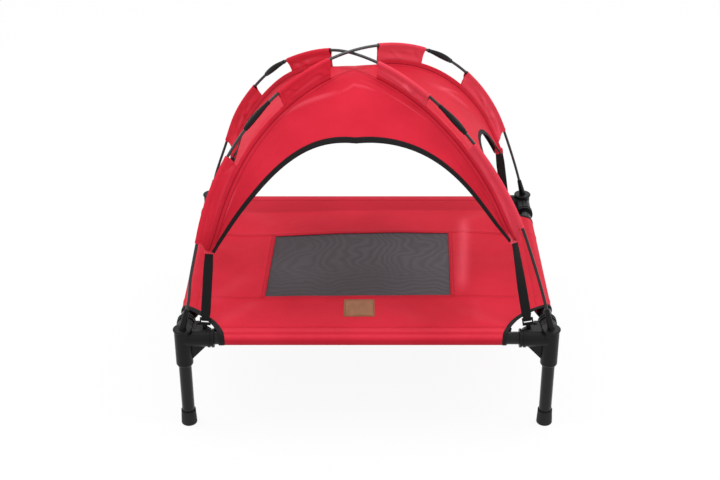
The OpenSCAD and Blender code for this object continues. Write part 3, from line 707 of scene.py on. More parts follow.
def points(x, y, z):
    """Three arrays or numbers as an array of points."""
    return np.stack(np.broadcast_arrays(x, y, z), axis=-1)


def arc_over(sx, sy):
    """The arc of the rod over a corner: one rod crosses over the other at the crown."""
    return UPPER_BOW if sx == sy else LOWER_BOW


def plain_rod(sx, sy, angle):
    """A point on the true arc of the rod over a corner."""
    out, z = bow_rz(arc_over(sx, sy), angle)
    return points(sx * DIR_X * out + lean_at(z), sy * DIR_Y * out, z)


print("tips at", round(TIP_AT, 2), "degrees and height", round(TIP_Z, 3))

# %% Where the rods and tips give way
# The back left branch is pressed flatter than a true arc: degrees up it, and how far inwards
PRESSED = ((32, 22 * MM), (58, 19 * MM))
PRESS_REACH = 0.49 * CROWN_RISE
PRESS_FADE = 40 * MM
# How far its strap tugs the front left tip aside, and how far the front right one has eased
TUG = np.array([-8, 0, -20]) * MM
EASE = np.array([-5, 0, 5]) * MM
TUG_REACH = 1.36 * (TIP_Z - SEAT_Z)


def near(places, centre, reach):
    """A share of 1 at a centre, fading to 0 at a reach from it."""
    far = np.linalg.norm(places - centre, axis=-1, keepdims=True) / reach
    return np.clip(1 - far ** 2, 0, 1) ** 2


def pressed(places):
    """Points moved with the pressed branch. Its foot stays straight in its boot."""
    moved = np.zeros_like(places)
    for angle, depth in PRESSED:
        at = math.radians(angle)
        inward = np.array([DIR_X * math.cos(at), -DIR_Y * math.cos(at), -math.sin(at)])
        moved += near(places, plain_rod(-1, 1, angle), PRESS_REACH) * depth * inward
    return places + moved * np.clip((places[..., 2:] - LEAN_FROM) / PRESS_FADE, 0, 1)


def settled(places):
    """Points of cloth moved with the pressed branch and the tugged tip."""
    x, y, z = seam_offsets(TIP_AT)
    moved = pressed(places)
    for sx, move in ((-1, TUG), (1, EASE)):
        moved += near(places, points(lean_at(z) + sx * x, -y, z), TUG_REACH) * move
    return moved


# How far the front left rod bows outwards above its boot, and how high up it does so the most
FOOT_BOW = np.array([-6.5, -2, 0]) * MM
FOOT_BOW_AT = 80 * MM
BOOT_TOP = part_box("pole_tip_front_left")[1][2]


def foot_bow(sx, sy, angle, z):
    """The bow of one rod's foot, by the angle and the height up it."""
    up = np.maximum(z - BOOT_TOP, 0) / FOOT_BOW_AT
    share = up * np.exp(1 - up) * smooth(up / 0.8) * smooth((50 - angle) / 20)
    return (share * (sx < 0 and sy < 0))[..., None] * FOOT_BOW


def rod_point(sx, sy, angle):
    """A point on the rod over a corner, at an angle up its arc."""
    places = pressed(plain_rod(sx, sy, angle))
    return places + foot_bow(sx, sy, np.asarray(angle, float), places[..., 2])


def seam_offsets(angle):
    """A seam's distances from the middle, left to right and front to back, and its height."""
    out, z = bow_rz(LOWER_BOW, angle, SEAM_INSET)
    drawn = np.clip((DRAW_FROM - angle) / (DRAW_FROM - TIP_AT), 0, 1) ** 2
    return DIR_X * out - TIP_DRAW[0] * drawn, DIR_Y * out - TIP_DRAW[1] * drawn, z


def seam_point(sx, sy, angle):
    """A point on the seam under a rod, at an angle up its arc."""
    x, y, z = seam_offsets(np.asarray(angle, float))
    return settled(points(sx * x + lean_at(z), sy * y, z))


print("the tugged tip moves", TUG, "and the eased one", EASE)


# %% Directions along a rod and its seam
def rod_run(sx, sy, angle):
    """A short step along the rod over a corner, at an angle up its arc."""
    return rod_point(sx, sy, angle + 0.3) - rod_point(sx, sy, angle - 0.3)


def seam_side(sx, sy):
    """The direction square to a corner's seam, as seen from above."""
    return np.array([sy * DIR_Y, -sx * DIR_X, 0])


def unit(vectors):
    """Vectors of the same directions, one unit long."""
    return vectors / np.linalg.norm(vectors, axis=-1, keepdims=True)


def seam_up(sx, sy, angle):
    """The direction from a seam to the rod over it."""
    return unit(rod_point(sx, sy, angle) - seam_point(sx, sy, angle))


def square_to(path):
    """Directions square to a flat path, on its right hand."""
    run = unit(np.gradient(path, axis=0))
    return np.stack([run[:, 1], -run[:, 0]], axis=1)


print("the front left seam points up", seam_up(-1, -1, TIP_AT).round(2), "at its tip")

# %% The canopy's panels
ARCHES = {"front": 347 * MM, "back": 347 * MM, "left": 274 * MM, "right": 274 * MM}
ACROSS = {"front": 0, "back": 0, "left": 1, "right": 1}
MIRRORED = ("back", "left")
TIP_HALF = 5 * MM
ARCH_FULL = 5 * MM
ARCH_SKEW = 6 * MM  # further out than that on the right, and further in on the left


def arch_point(side, share, below=0.0):
    """A point on an arch from tip to tip, or a distance below it: its place along and height.
    The front and back arches are cut fuller than a circle beside their tops, and tighter near
    their tips, and they are skewed to the right."""
    across, rise = ACROSS[side], ARCHES[side]
    reach = seam_offsets(TIP_AT)[across] - TIP_HALF
    height = rise - (TIP_Z - SEAT_Z)
    radius = (reach ** 2 + height ** 2) / (2 * height)
    centre = SEAT_Z + rise - radius
    aside = 2 * np.asarray(share, float) - 1
    turn = aside * math.acos((TIP_Z - centre) / radius)
    fuller = ARCH_FULL * np.sin(2 * math.pi * np.abs(aside)) + ARCH_SKEW * np.sin(math.pi * aside) ** 3
    reach = radius - below + (fuller if across == 0 else 0)
    return reach * np.sin(turn), centre + reach * np.cos(turn)


def panel_point(side, along, angle, off=0.0):
    """A point on a panel, from its place along it, its angle, and its height off the cloth."""
    across = ACROSS[side]
    sign = 1 if side in ("back", "right") else -1
    here, ahead, behind = [seam_offsets(np.asarray(angle) + step) for step in (0, 0.2, -0.2)]
    run = unit(np.stack([ahead[1 - across] - behind[1 - across], ahead[2] - behind[2]], axis=-1))
    depth = here[1 - across] + off * run[..., 1]
    z = here[2] - off * run[..., 0]
    if across == 0:
        return settled(points(along + lean_at(z), sign * depth, z))
    return settled(points(sign * depth + lean_at(z), along, z))


def under_arch(side, share, below, off=0.0):
    """A point of a panel a distance below its arch, and a distance off its cloth."""
    place, z = arch_point(side, share, below)
    return panel_point(side, place, bow_angle(LOWER_BOW, z, SEAM_INSET), off)


print("arches rise", {side: round(rise, 3) for side, rise in ARCHES.items()})

# %% [markdown]
# ## The bed cover
#
# The real cover is cut flat, as an oblong with its four corners cut away in arcs. Each side is
# then rolled round its rail and sewn up under the flat cloth. It could be modelled as a sheet
# with four tubes, but then the weave, the creases and the edges would not run on round the bend.
# So the cloth is laid out in its flat cut, and one function rolls the cut round the rails.

# %% Places on the flat cut
mesh_low, mesh_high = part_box("mesh_panel")
MESH_LAP = 9 * MM  # how far the mesh runs on under the window's edge
WINDOW_X = (mesh_low.x + MESH_LAP, mesh_high.x - MESH_LAP)
WINDOW_Y = (mesh_low.y + MESH_LAP, mesh_high.y - MESH_LAP)
COVER_SHIFT = sum(WINDOW_X) / 2

COVER_T = 1.2 * MM
WRAP_R = TUBE_R + 0.8 * MM  # round a rail, to the middle of the cloth
WRAP_TURN = math.radians(237)  # how far round it the cloth bends, before it runs straight
SEWN_AT = 22 * MM  # inboard of a rail's axis, where the end of the flap meets the flat cloth
SEAM_IN = SEWN_AT - 4 * MM  # inboard of a rail's axis, where the stitches of the roll run

BARE_X = 77 * MM  # the sides of a corner cut, and how far its arc bulges
BARE_Y = 90 * MM
CUT_BULGE = 11 * MM
chord = math.hypot(BARE_X, BARE_Y)
CUT_R = (chord ** 2 / 4 + CUT_BULGE ** 2) / (2 * CUT_BULGE)
CUT_X = HALF_X - BARE_X / 2 + (CUT_R - CUT_BULGE) * BARE_Y / chord
CUT_Y = HALF_Y - BARE_Y / 2 + (CUT_R - CUT_BULGE) * BARE_X / chord

wrap_arc = WRAP_R * WRAP_TURN
wrap_rest = (SEWN_AT + WRAP_R * math.sin(WRAP_TURN)) / -math.cos(WRAP_TURN)


def roll(beyond):
    """Where cloth that runs a distance beyond a rail's axis lies: how far out, and how high."""
    turn = np.clip(beyond / WRAP_R, 0, WRAP_TURN)
    straight = np.maximum(beyond - wrap_arc, 0)
    out = WRAP_R * np.sin(turn) + straight * math.cos(WRAP_TURN) + np.minimum(beyond, 0)
    return out, WRAP_R * np.cos(turn) - straight * math.sin(WRAP_TURN)


def side_limit(sx, y):
    """How far the cloth reaches to one side, at a distance to the front or back."""
    return CUT_X + sx * COVER_SHIFT - np.sqrt(CUT_R ** 2 - (np.abs(y) - CUT_Y) ** 2)


def end_limit(sx, x):
    """How far the cloth reaches to the front and back, at a distance to one side."""
    return CUT_Y - np.sqrt(CUT_R ** 2 - (np.abs(x) - CUT_X - sx * COVER_SHIFT) ** 2)


print("a side reaches", round(float(side_limit(1, 0.0)), 3), "at its middle")


# %% Hems and soft ridges of the cloth
HEM = 9 * MM
HEM_SEWN = (2.2 * MM, 7.2 * MM)
FOLD = 0.9 * MM
SEAM_W = 2.5 * MM
SEAM_DENT = 0.7 * MM
SAG = 3.5 * MM
SWELL = 0.5 * MM
SLACK_FADE = 0.1


def groove(distance, width=1.3 * MM):
    """A dent of 1 on a line, fading at a width to each side."""
    return np.clip(1 - np.abs(distance) / width, 0, 1)


def hem(distance):
    """The raised band of a hem, by distance in from its turned edge, with two sewn lines."""
    band = smooth(distance / (0.7 * MM)) * (1 - smooth((distance - HEM) / (2.5 * MM)))
    return FOLD * band - 0.5 * FOLD * sum(groove(distance - at) for at in HEM_SEWN)


def ruck(x, y, start, end, height, width):
    """A soft ridge along a line from one point to another, strongest in its middle."""
    start, end = np.array(start) * MM, np.array(end) * MM
    length = np.linalg.norm(end - start)
    run = (end - start) / length
    along = ((x - start[0]) * run[0] + (y - start[1]) * run[1]) / length
    off = (x - start[0]) * run[1] - (y - start[1]) * run[0]
    ends = smooth(along * 5) * smooth((1 - along) * 5)
    return height * MM * ends * bell(off, width * MM)


# Each line's start and end, its height and its width, all in millimetres; the first is a fold
RUCKS = [
    ((223, 190), (206, -150), 2.4, 9), ((236, 190), (219, -150), -1.2, 4),
    ((232, -160), (229, -262), 1.2, 6), ((-205, -172), (-300, -262), 1.8, 16),
    ((-235, -60), (-322, -190), 1.6, 20), ((180, -200), (282, -268), 1.3, 14),
    ((-190, 150), (-300, 232), 1.4, 16), ((210, 140), (300, 236), 1.4, 14),
    ((-120, -185), (-180, -268), -0.8, 12), ((70, -190), (120, -270), 0.8, 14),
    ((-255, 40), (-345, 60), 0.9, 12), ((250, -20), (345, 10), 0.8, 12),
]


def slack(u, v):
    """The sag and the soft swells of the stretched cloth, at a place on the flat cut."""
    flat = smooth((HALF_X - np.abs(u)) / SLACK_FADE) * smooth((HALF_Y - np.abs(v)) / SLACK_FADE)
    swell = np.sin(u * 31 + 2 * np.sin(v * 17)) * np.sin(v * 27 + 1.5 * np.sin(u * 13 + 1))
    return (SWELL * swell - SAG) * flat


def cover_height(u, v):
    """How far the cloth stands off its smooth roll, at a place on the flat cut."""
    lift = slack(u, v)
    for edge, sign in zip(WINDOW_Y, (-1, 1)):
        lift = lift + hem(sign * (v - edge))
    between = (v > WINDOW_Y[0]) & (v < WINDOW_Y[1])
    for edge, sign in zip(WINDOW_X, (-1, 1)):
        lift = lift + hem(sign * (u - edge)) * between
    for reach, half in ((np.abs(u), HALF_X), (np.abs(v), HALF_Y)):
        lift = lift - SEAM_DENT * groove(reach - half + SEAM_IN, SEAM_W)
    return lift + sum(ruck(u, v, *line) for line in RUCKS)


print(len(RUCKS), "soft ridges on the cover")


# %% Painted highlight and shade of the cover
# Where a painted shadow over the back of the cover begins, behind the middle
BACK_SHADE_FROM = 214 * MM


def cover_marks(u, v):
    """Where the cloth is painted paler, as highlight on its ridges, its main fold and the bends of the
    rolls, and where it is painted darker, as shade: on the sewn lines, in the roll's seam, under
    the front roll, and in a band over the back."""
    # Painted highlight on the ridges and on the main fold
    ridges = sum(ruck(u, v, *line[:2], max(line[2], 0), line[3]) for line in RUCKS[1:])
    fold = ruck(u, v, *RUCKS[0][:2], 1, RUCKS[0][3] * 1.2)
    between = (v > WINDOW_Y[0] - HEM) & (v < WINDOW_Y[1] + HEM)
    # Painted shade in the grooves of the hems' sewn lines
    sewn = sum(
        where * groove(sign * (place - edge) - at)
        for place, edges, where in ((v, WINDOW_Y, 1), (u, WINDOW_X, between))
        for edge, sign in zip(edges, (-1, 1)) for at in HEM_SEWN
    )
    # Painted shade in the groove of each roll's sewn line
    roll_seam = groove(np.abs(v) - HALF_Y + SEAM_IN, SEAM_W)
    # Painted shadow over the back of the cover
    double = smooth((v - BACK_SHADE_FROM) / (5 * MM))
    over_side, over_end = (np.abs(u) - HALF_X) / MM, (np.abs(v) - HALF_Y) / MM
    # Painted highlight along the bends of the rolls, where they turn to the light
    bend = 0.14 * (bell(over_side - 5, 5) + bell(over_end + 4, 3.5) + bell(over_end - 9.5, 3))
    # Painted shade under the front roll, which faces down
    under = (v < 0) * (0.2 * bell(over_end - 3.5, 3) + 0.4 * smooth((over_end - 13) / 7))
    return {
        "rubbed": 0.42 * fold / MM + ridges * 45 + bend,
        "doubled": 0.3 * double + 0.35 * sewn + 0.18 * roll_seam + under,
    }


# The cover is painted darker, as shade, from this distance behind the middle to the back
print("the cloth lies double from", BACK_SHADE_FROM, "behind the middle")

# %% How the stretch pulls the cloth
# The window's corners as sewn, off a true oblong: front left, front right, back left, back right
PULLED = np.array([[[-9.4, 2], [-11.1, 8]], [[-1.7, -0.5], [-2.4, 14.5]]]) * MM
BOW = 9 * MM
PULL_FADE_X = 0.15
PULL_FADE_Y = 0.12


def pulled(u, v):
    """How far the stretch has pulled the cloth sideways and backwards, at a place on the cut: as
    far as it has pulled the window's corners, blended between them, and bowed at the back."""
    right = np.clip((u - WINDOW_X[0]) / (WINDOW_X[1] - WINDOW_X[0]), -0.15, 1.15)[..., None]
    back = np.clip((v - WINDOW_Y[0]) / (WINDOW_Y[1] - WINDOW_Y[0]), 0, 1)[..., None]
    front_pull = PULLED[0, 0] * (1 - right) + PULLED[0, 1] * right
    back_pull = PULLED[1, 0] * (1 - right) + PULLED[1, 1] * right
    pull = front_pull * (1 - back) + back_pull * back
    pull[..., 1] += (BOW * back * np.clip(4 * right * (1 - right), 0, 1))[..., 0]
    fade = smooth((HALF_X - np.abs(u)) / PULL_FADE_X) * smooth((HALF_Y - np.abs(v)) / PULL_FADE_Y)
    return pull * fade[..., None]


print("the window's back edge is bowed by", BOW)


# %% Roll the cut round the rails
def rolled(u, v, off=0.0, height=cover_height):
    """The point in space of a place on the flat cut, a distance off the cloth."""
    u, v = np.broadcast_arrays(np.asarray(u, float), np.asarray(v, float))

    def smooth_place(u, v):
        pull = pulled(u, v)
        u, v = u + pull[..., 0], v + pull[..., 1]
        out_x, up_x = roll(np.abs(u) - HALF_X)
        out_y, up_y = roll(np.abs(v) - HALF_Y)
        return points(np.sign(u) * (HALF_X + out_x), np.sign(v) * (HALF_Y + out_y),
                      RAIL_Z + up_x + up_y - WRAP_R)

    step = 0.4 * MM
    to_right = smooth_place(u + step, v) - smooth_place(u - step, v)
    to_back = smooth_place(u, v + step) - smooth_place(u, v - step)
    outward = unit(np.cross(to_right, to_back))
    return smooth_place(u, v) + outward * (height(u, v) + off)[..., None]


print("middle of the cloth lies at", rolled(0.0, 0.0).round(4))

# %% [markdown]
# A cross of five grids covers the flat cut: a middle, two ends and two sides. The ends and sides
# narrow row by row as the arcs of the corner cuts do, so the cut edges are smooth and need no
# trimming. Lines of the grid run along every hem, and the window is deleted from the middle.

# %% Grid lines of the cover
BESIDE = np.array([-11.5, -9, -7.2, -5, -2.2, -0.7, 0, 0.7, 2.2, 5, 7.2, 9, 11.5]) * MM


def lines(low, high, pitch, *special):
    """Places from low to high about a pitch apart, with finer ones beside each special place."""
    places = {low, high}
    for place in special:
        places.update(p for p in place + BESIDE if low < p < high)
    steps = np.linspace(low, high, max(2, round((high - low) / pitch) + 1))
    for step in steps:
        if all(abs(step - p) > 0.6 * pitch for p in places):
            places.add(step)
    return np.array(sorted(places))


SPLIT_Y = HALF_Y - 52 * MM  # where the ends take over from the middle
SPLIT_X = {sx: float(side_limit(sx, SPLIT_Y)) for sx in (-1, 1)}
PITCH = 8 * MM
columns = lines(-SPLIT_X[-1], SPLIT_X[1], PITCH, *WINDOW_X)
rows = lines(-SPLIT_Y, SPLIT_Y, PITCH, *WINDOW_Y)


def flap_lines(split, half):
    """Places from the split out over the rail to the end of its flap."""
    sewn = half - SEAM_IN
    flat = [split + (sewn - 3 * MM - split) * s for s in (0, 0.25, 0.5, 0.75, 1)]
    beside = [sewn, sewn + 3 * MM, half - 5 * MM]
    turned = half + wrap_arc * np.linspace(0, 1, 19)
    return np.concatenate([flat, beside, turned, half + wrap_arc + wrap_rest * np.array([0.35, 0.7, 1])])


print(len(columns), "columns and", len(rows), "rows in the middle")


# %% The five grids
def cloth_grid(name, u, v):
    """A skin over places on the flat cut, with those places as its UV map."""
    piece = skin(name, rolled(u, v), **cover_marks(u, v))
    write_uv(piece, np.stack([u, v], axis=-1))
    return piece


def end_grid(sy):
    """The front or the back of the cover, from the split to the end of its flap."""
    v = flap_lines(SPLIT_Y, HALF_Y)
    reach_y = HALF_Y + roll(v - HALF_Y)[0]
    left, right = [side_limit(sx, reach_y) / SPLIT_X[sx] for sx in (-1, 1)]
    share = np.where(columns < 0, left[:, None], right[:, None])
    u = columns * share
    v = np.repeat(sy * v[:, None], len(columns), axis=1)
    return cloth_grid("end", u[::sy], v[::sy])


def side_grid(sx):
    """The left or the right of the cover, from the split to the end of its flap."""
    u = flap_lines(SPLIT_X[sx], HALF_X)
    reach_x = HALF_X + roll(u - HALF_X)[0]
    v = rows[:, None] * (end_limit(sx, reach_x) / SPLIT_Y)
    u = np.repeat(sx * u[None, :], len(rows), axis=0)
    return cloth_grid("side", u[:, ::sx], v[:, ::sx])


middle_grid = cloth_grid("middle", *np.meshgrid(columns, rows))
face_u, face_v = np.meshgrid((columns[1:] + columns[:-1]) / 2, (rows[1:] + rows[:-1]) / 2)
in_window = (face_u > WINDOW_X[0]) & (face_u < WINDOW_X[1])
in_window &= (face_v > WINDOW_Y[0]) & (face_v < WINDOW_Y[1])
delete_parts(middle_grid, "FACE", polygons=np.flatnonzero(in_window).tolist())

cover = join("bed_cover", [middle_grid, end_grid(-1), end_grid(1), side_grid(-1), side_grid(1)])
thicken(cover, COVER_T)
dress(cover, RED_CLOTH, "red_fabric", "frame", "bed_fabric")

# %% [markdown]
# ## Tapes round the corner cuts
#
# Each cut edge is bound with a folded tape. A bevelled edge on the cloth would not do, because the
# tape is a piece of its own, a little proud of the cloth on both faces. It is a small U-shaped
# section swept along the edge, and it uses the same roll as the cloth, so it goes round the rails
# with it.

# %% Corner tapes
TAPE_T = 0.5 * MM
# The folded tape's section: how far in from the cut edge, and how far off the cloth
TAPE_SECTION = np.array([
    (10.8, 0.75), (10.0, 1.05), (5.5, 1.1), (1.0, 1.1), (-0.3, 0.75), (-0.8, 0.0),
    (-0.3, -0.75), (1.0, -1.1), (5.5, -1.1), (10.8, -0.75),
]) * MM
SNUG = 0.42  # how close its inner leg lies where the cloth is rolled round a rail
# How wide each tape shows, as a share of that section: one was sewn with less turned under
CORNER_TAPE_SHARE = {(-1, -1): 0.95}
USUAL_TAPE_SHARE = 0.68


def cut_edge(sx):
    """The edge of one corner's cut, on the flat cut's own axes: end flap, arc, side flap."""
    v = flap_lines(SPLIT_Y, HALF_Y)[::-1]
    end = [(side_limit(sx, HALF_Y + roll(y - HALF_Y)[0]), y) for y in v]
    u = flap_lines(SPLIT_X[sx], HALF_X)
    side = [(x, end_limit(sx, HALF_X + roll(x - HALF_X)[0])) for x in u]
    return np.array(end + side[1:], float)


def corner_tape(sx, sy):
    """The tape's section swept along one corner's cut."""
    share = CORNER_TAPE_SHARE.get((sx, sy), USUAL_TAPE_SHARE)
    edge = cut_edge(sx)
    places = edge[:, None] + square_to(edge)[:, None] * TAPE_SECTION[None, :, :1] * share
    off = np.repeat(TAPE_SECTION[None, :, 1], len(edge), axis=0)
    turned = (edge[:, 0] > HALF_X - SEWN_AT) | (edge[:, 1] > HALF_Y - SEWN_AT)
    off = np.where(turned[:, None] & (off < 0), off * SNUG, off)
    rows = rolled(sx * places[..., 0], sy * places[..., 1], off)
    return skin("tape", rows[::sx * sy])


corner_tapes = join("corner_tapes", [corner_tape(sx, sy) for sx, sy in CORNERS.values()])
thicken(corner_tapes, TAPE_T)
dress(corner_tapes, BLACK_TAPE, "black_binding", "frame", "corner_bindings")

# %% [markdown]
# ## The mesh window and the label
#
# A polyester net is sewn under the window's edge. Its holes are about a millimetre, too fine to
# model at this size, so the net is one sheet and its finish gives the strands. The label is a
# plate of stamped leather: a rounded outline, a raised rim and a sunken line inside it, where it
# is sewn. Its outline is laid out as seen from above, and then lies on the slack cloth.

# %% Mesh window
NET_UNDER = 1.05 * MM
NET_T = 0.7 * MM
net_u, net_v = np.meshgrid(
    np.linspace(WINDOW_X[0] - MESH_LAP, WINDOW_X[1] + MESH_LAP, 50),
    np.linspace(WINDOW_Y[0] - MESH_LAP, WINDOW_Y[1] + MESH_LAP, 34),
)
net = skin("mesh_window", rolled(net_u, net_v, -NET_UNDER, slack))
thicken(net, NET_T)
dress(net, GREY_MESH, "grey_mesh", "frame", "mesh_panel")

# %% Leather label
LABEL_ROUND = 3.5 * MM
LABEL_ROUND_MIN = 0.8 * MM
# From the label's edge to its middle: how far in, and how high over the cloth, in millimetres
LABEL_PROFILE = [
    (0, 0), (0, 0.75), (0.15, 1.0), (0.5, 1.15), (1.9, 1.15), (2.2, 0.8), (2.8, 0.8), (3.1, 1.15),
    (6, 1.25), (12, 1.25), (18, 1.25), (24, 1.25),
]
ROUND_POINTS = 6
SIDE_PARTS = 8
AIM_ROUNDS = 4
LABEL_HALF = (31 * MM, 33.3 * MM)
LABEL_SHIFT = (-2.3 * MM, 3.6 * MM)  # off the middle of the frame's own label


def flat_places(targets):
    """The places on the flat cut that the roll carries to points of the bed, seen from above.
    Each round moves them by how far they still miss."""
    places = np.array(targets, float)
    for _ in range(AIM_ROUNDS):
        places += targets - rolled(places[:, 0], places[:, 1])[:, :2]
    return places


def rounded_oblong(half_w, half_l, radius):
    """An oblong's outline with rounded corners, with points along its sides too."""
    arcs = []
    for quarter, signs in enumerate(((1, 1), (-1, 1), (-1, -1), (1, -1))):
        turn = np.radians(np.linspace(0, 90, ROUND_POINTS)) + quarter * math.pi / 2
        centre = np.array(signs) * (half_w - radius, half_l - radius)
        arcs.append(centre + radius * np.stack([np.cos(turn), np.sin(turn)], axis=1))
    share = np.arange(SIDE_PARTS)[:, None] / SIDE_PARTS
    outline = []
    for arc, following in zip(arcs, arcs[1:] + arcs[:1]):
        outline += [arc[:-1], arc[-1] + (following[0] - arc[-1]) * share]
    return np.concatenate(outline)


label_middle = np.array(middle("label_patch")[:2]) + LABEL_SHIFT
print("the label's middle lies at", label_middle.round(4))


def label_ring(inset, rise):
    """One ring of the label: a distance in from its edge and a height over the cloth."""
    radius = max(LABEL_ROUND - inset, LABEL_ROUND_MIN)
    outline = rounded_oblong(LABEL_HALF[0] - inset, LABEL_HALF[1] - inset, radius)
    ring = flat_places(label_middle + outline)
    return rolled(ring[:, 0], ring[:, 1], COVER_T / 2 + rise)


rings = [label_ring(inset * MM, rise * MM) for inset, rise in LABEL_PROFILE]
label = skin("label", rings, wrapped=True, capped=True)
dress(label, BROWN_LEATHER, "brown_leather", "frame", "label_patch")

# %% [markdown]
# ## The canopy
#
# The dome is four cut panels sewn along the two diagonals. Flat panels would meet in sharp ridges
# with straight sides, but real cloth hangs a little inwards between its seams and puckers where
# it is sewn. So each panel is a curved sheet from its arch to its seams, the four are welded along
# the seams into one skin, and slack, puckers and creases are added as small moves off the cloth.

# %% Slack and creases of the panels
PANEL_SAG = 5 * MM
PUCKER = 0.9 * MM
PUCKER_FADE = 18 * MM
PANEL_SWELL = 0.8 * MM
TAUT_AT_SEAM = 12 * MM  # how far from a seam the cloth is wholly free to fold
# Soft folds: where each starts and ends, as shares across and up its panel, its height in
# millimetres and its width as a share
CREASES = {
    "front": [(0.30, 0.97, 0.47, 0.60, 2.6, 0.014), (0.36, 0.99, 0.50, 0.72, -1.8, 0.02),
              (0.46, 0.62, 0.56, 0.74, 1.8, 0.012), (0.50, 0.80, 0.70, 0.76, 1.8, 0.012),
              (0.20, 0.30, 0.33, 0.62, -1.6, 0.03), (0.80, 0.25, 0.70, 0.62, -1.4, 0.03),
              (0.07, 0.35, 0.16, 0.75, 1.6, 0.012), (0.93, 0.30, 0.85, 0.70, 1.4, 0.012)],
    "back": [(0.30, 0.70, 0.48, 0.55, -1.8, 0.04), (0.78, 0.35, 0.64, 0.70, -1.5, 0.03),
             (0.40, 0.90, 0.50, 0.62, 1.8, 0.014)],
    "left": [(0.25, 0.35, 0.40, 0.65, -1.8, 0.04), (0.72, 0.30, 0.60, 0.72, 1.3, 0.04),
             (0.62, 0.95, 0.52, 0.60, 1.8, 0.016)],
    "right": [(0.22, 0.30, 0.40, 0.68, -1.8, 0.04), (0.76, 0.35, 0.60, 0.66, 1.3, 0.04),
              (0.36, 0.94, 0.48, 0.62, 2.0, 0.016), (0.60, 0.50, 0.78, 0.72, 1.6, 0.014)],
}


def crease(share, up, line):
    """A soft fold along a line on a panel, given by its two ends, its height and its width."""
    x0, y0, x1, y1, height, width = line
    length = math.hypot(x1 - x0, y1 - y0)
    run_x, run_y = (x1 - x0) / length, (y1 - y0) / length
    along = ((share - x0) * run_x + (up - y0) * run_y) / length
    off = (share - x0) * run_y - (up - y0) * run_x
    return height * MM * smooth(along * 3) * smooth((1 - along) * 3) * bell(off, width)


TOPSTITCH_AT = 9 * MM
TOPSTITCH_DENT = 0.5 * MM


def panel_marks(side, share, up, seam_gap):
    """Where a panel is painted paler, as highlight on its creases and at the front right tip, and
    where it is painted darker, as shade at the seams and along the topstitched rows."""
    ridges = sum(np.maximum(crease(share, up, line), 0) for line in CREASES[side])
    at_seam = bell(seam_gap, 2.2 * MM) * smooth(up * 12)
    # Painted highlight at the lit right tip of the front panel
    tip_side = smooth((2 * share - 1 - 0.93) / 0.04)
    at_tip = (side == "front") * tip_side * (1 - smooth((up - 0.3) / 0.5))
    sewn = groove(seam_gap - TOPSTITCH_AT, 2 * MM)
    return {"rubbed": ridges * 190 + 0.6 * at_tip, "doubled": 0.75 * at_seam + 0.35 * sewn}


def panel_off(side, share, up, seam_gap):
    """How far a panel's cloth lies off its plain curve."""
    hang = -PANEL_SAG * np.sin(math.pi * share) * np.sin(math.pi * np.clip(up, 0, 1) ** 0.8)
    pucker = PUCKER * np.exp(-seam_gap / PUCKER_FADE) * np.sin(up * 55 + 3 * np.sin(share * 9))
    swell = PANEL_SWELL * np.sin(share * 11 + 2 * up) * np.sin(up * 9 + 3 * share) * np.sin(math.pi * up)
    folds = sum(crease(share, up, line) for line in CREASES[side])
    loose = pucker * np.sin(math.pi * np.clip(up, 0, 1)) + swell + folds
    dent = TOPSTITCH_DENT * groove(seam_gap - TOPSTITCH_AT, SEAM_W)
    return hang + loose * smooth(seam_gap / TAUT_AT_SEAM) - dent


print("creases:", {side: len(folds) for side, folds in CREASES.items()})


# %% The four panels
PANEL_COLUMNS = 96
PANEL_ROWS = np.concatenate([np.linspace(0, 0.93, 30), [0.945, 0.96, 0.972, 0.982, 0.99, 0.995, 1]])
CANOPY_T = 1.0 * MM
IN_TAPE = 8 * MM


def panel_places(side, share, up):
    """A panel's place along it and its angle, at a share across and a share up to the seams."""
    across = ACROSS[side]
    foot, foot_z = arch_point(side, share)
    foot_at = bow_angle(LOWER_BOW, foot_z, SEAM_INSET)
    top_at = TIP_AT + (90 - TIP_AT) * (1 - np.abs(2 * share - 1))
    top = np.sign(np.round(share - 0.5, 9)) * seam_offsets(top_at)[across]
    along, angle = foot + (top - foot) * up, foot_at + (top_at - foot_at) * up
    return along, angle, np.maximum(seam_offsets(angle)[across] - np.abs(along), 0)


def panel(side):
    """One panel of the dome, with a first row hidden in its arch's tape."""
    share, up = np.meshgrid(np.linspace(0, 1, PANEL_COLUMNS + 1), PANEL_ROWS)
    along, angle, seam_gap = panel_places(side, share, up)
    cloth = panel_point(side, along, angle, panel_off(side, share, up, seam_gap))
    rows = np.concatenate([under_arch(side, share[0], IN_TAPE)[None], cloth])
    marks = panel_marks(side, share, up, seam_gap)
    marks = {name: np.concatenate([values[:1], values]) for name, values in marks.items()}
    if side in MIRRORED:
        rows, marks = rows[:, ::-1], {name: values[:, ::-1] for name, values in marks.items()}
    return skin("panel", rows, **marks)


canopy = join("canopy_cloth", [panel(side) for side in ARCHES])
face_out(canopy)
thicken(canopy, CANOPY_T)
dress(canopy, RED_CLOTH, "red_fabric", "canopy", *["canopy_" + side for side in ARCHES])

# %% Tapes round the arches
ARCH_TAPE_W = 8.7 * MM
ARCH_TAPE_SECTION = TAPE_SECTION * (0.8, 1)
FOOT_SHARE = 0.72


def arch_tape(side):
    """A tape bent in two along a panel's arch: its outer leg, its edge, its inner leg."""
    share = np.linspace(0, 1, PANEL_COLUMNS + 1)
    narrow = 1 - (1 - FOOT_SHARE) * np.abs(2 * share - 1) ** 1.5
    rows = np.stack([
        under_arch(side, share, ARCH_TAPE_W - below * narrow, off) for below, off in ARCH_TAPE_SECTION
    ], axis=1)
    piece = skin("arch_tape_" + side, rows if side in MIRRORED else rows[:, ::-1])
    thicken(piece, TAPE_T)
    return dress(piece, BLACK_TAPE, "black_binding", "canopy", "arch_binding_" + side)


arch_tapes = {side: arch_tape(side) for side in ARCHES}

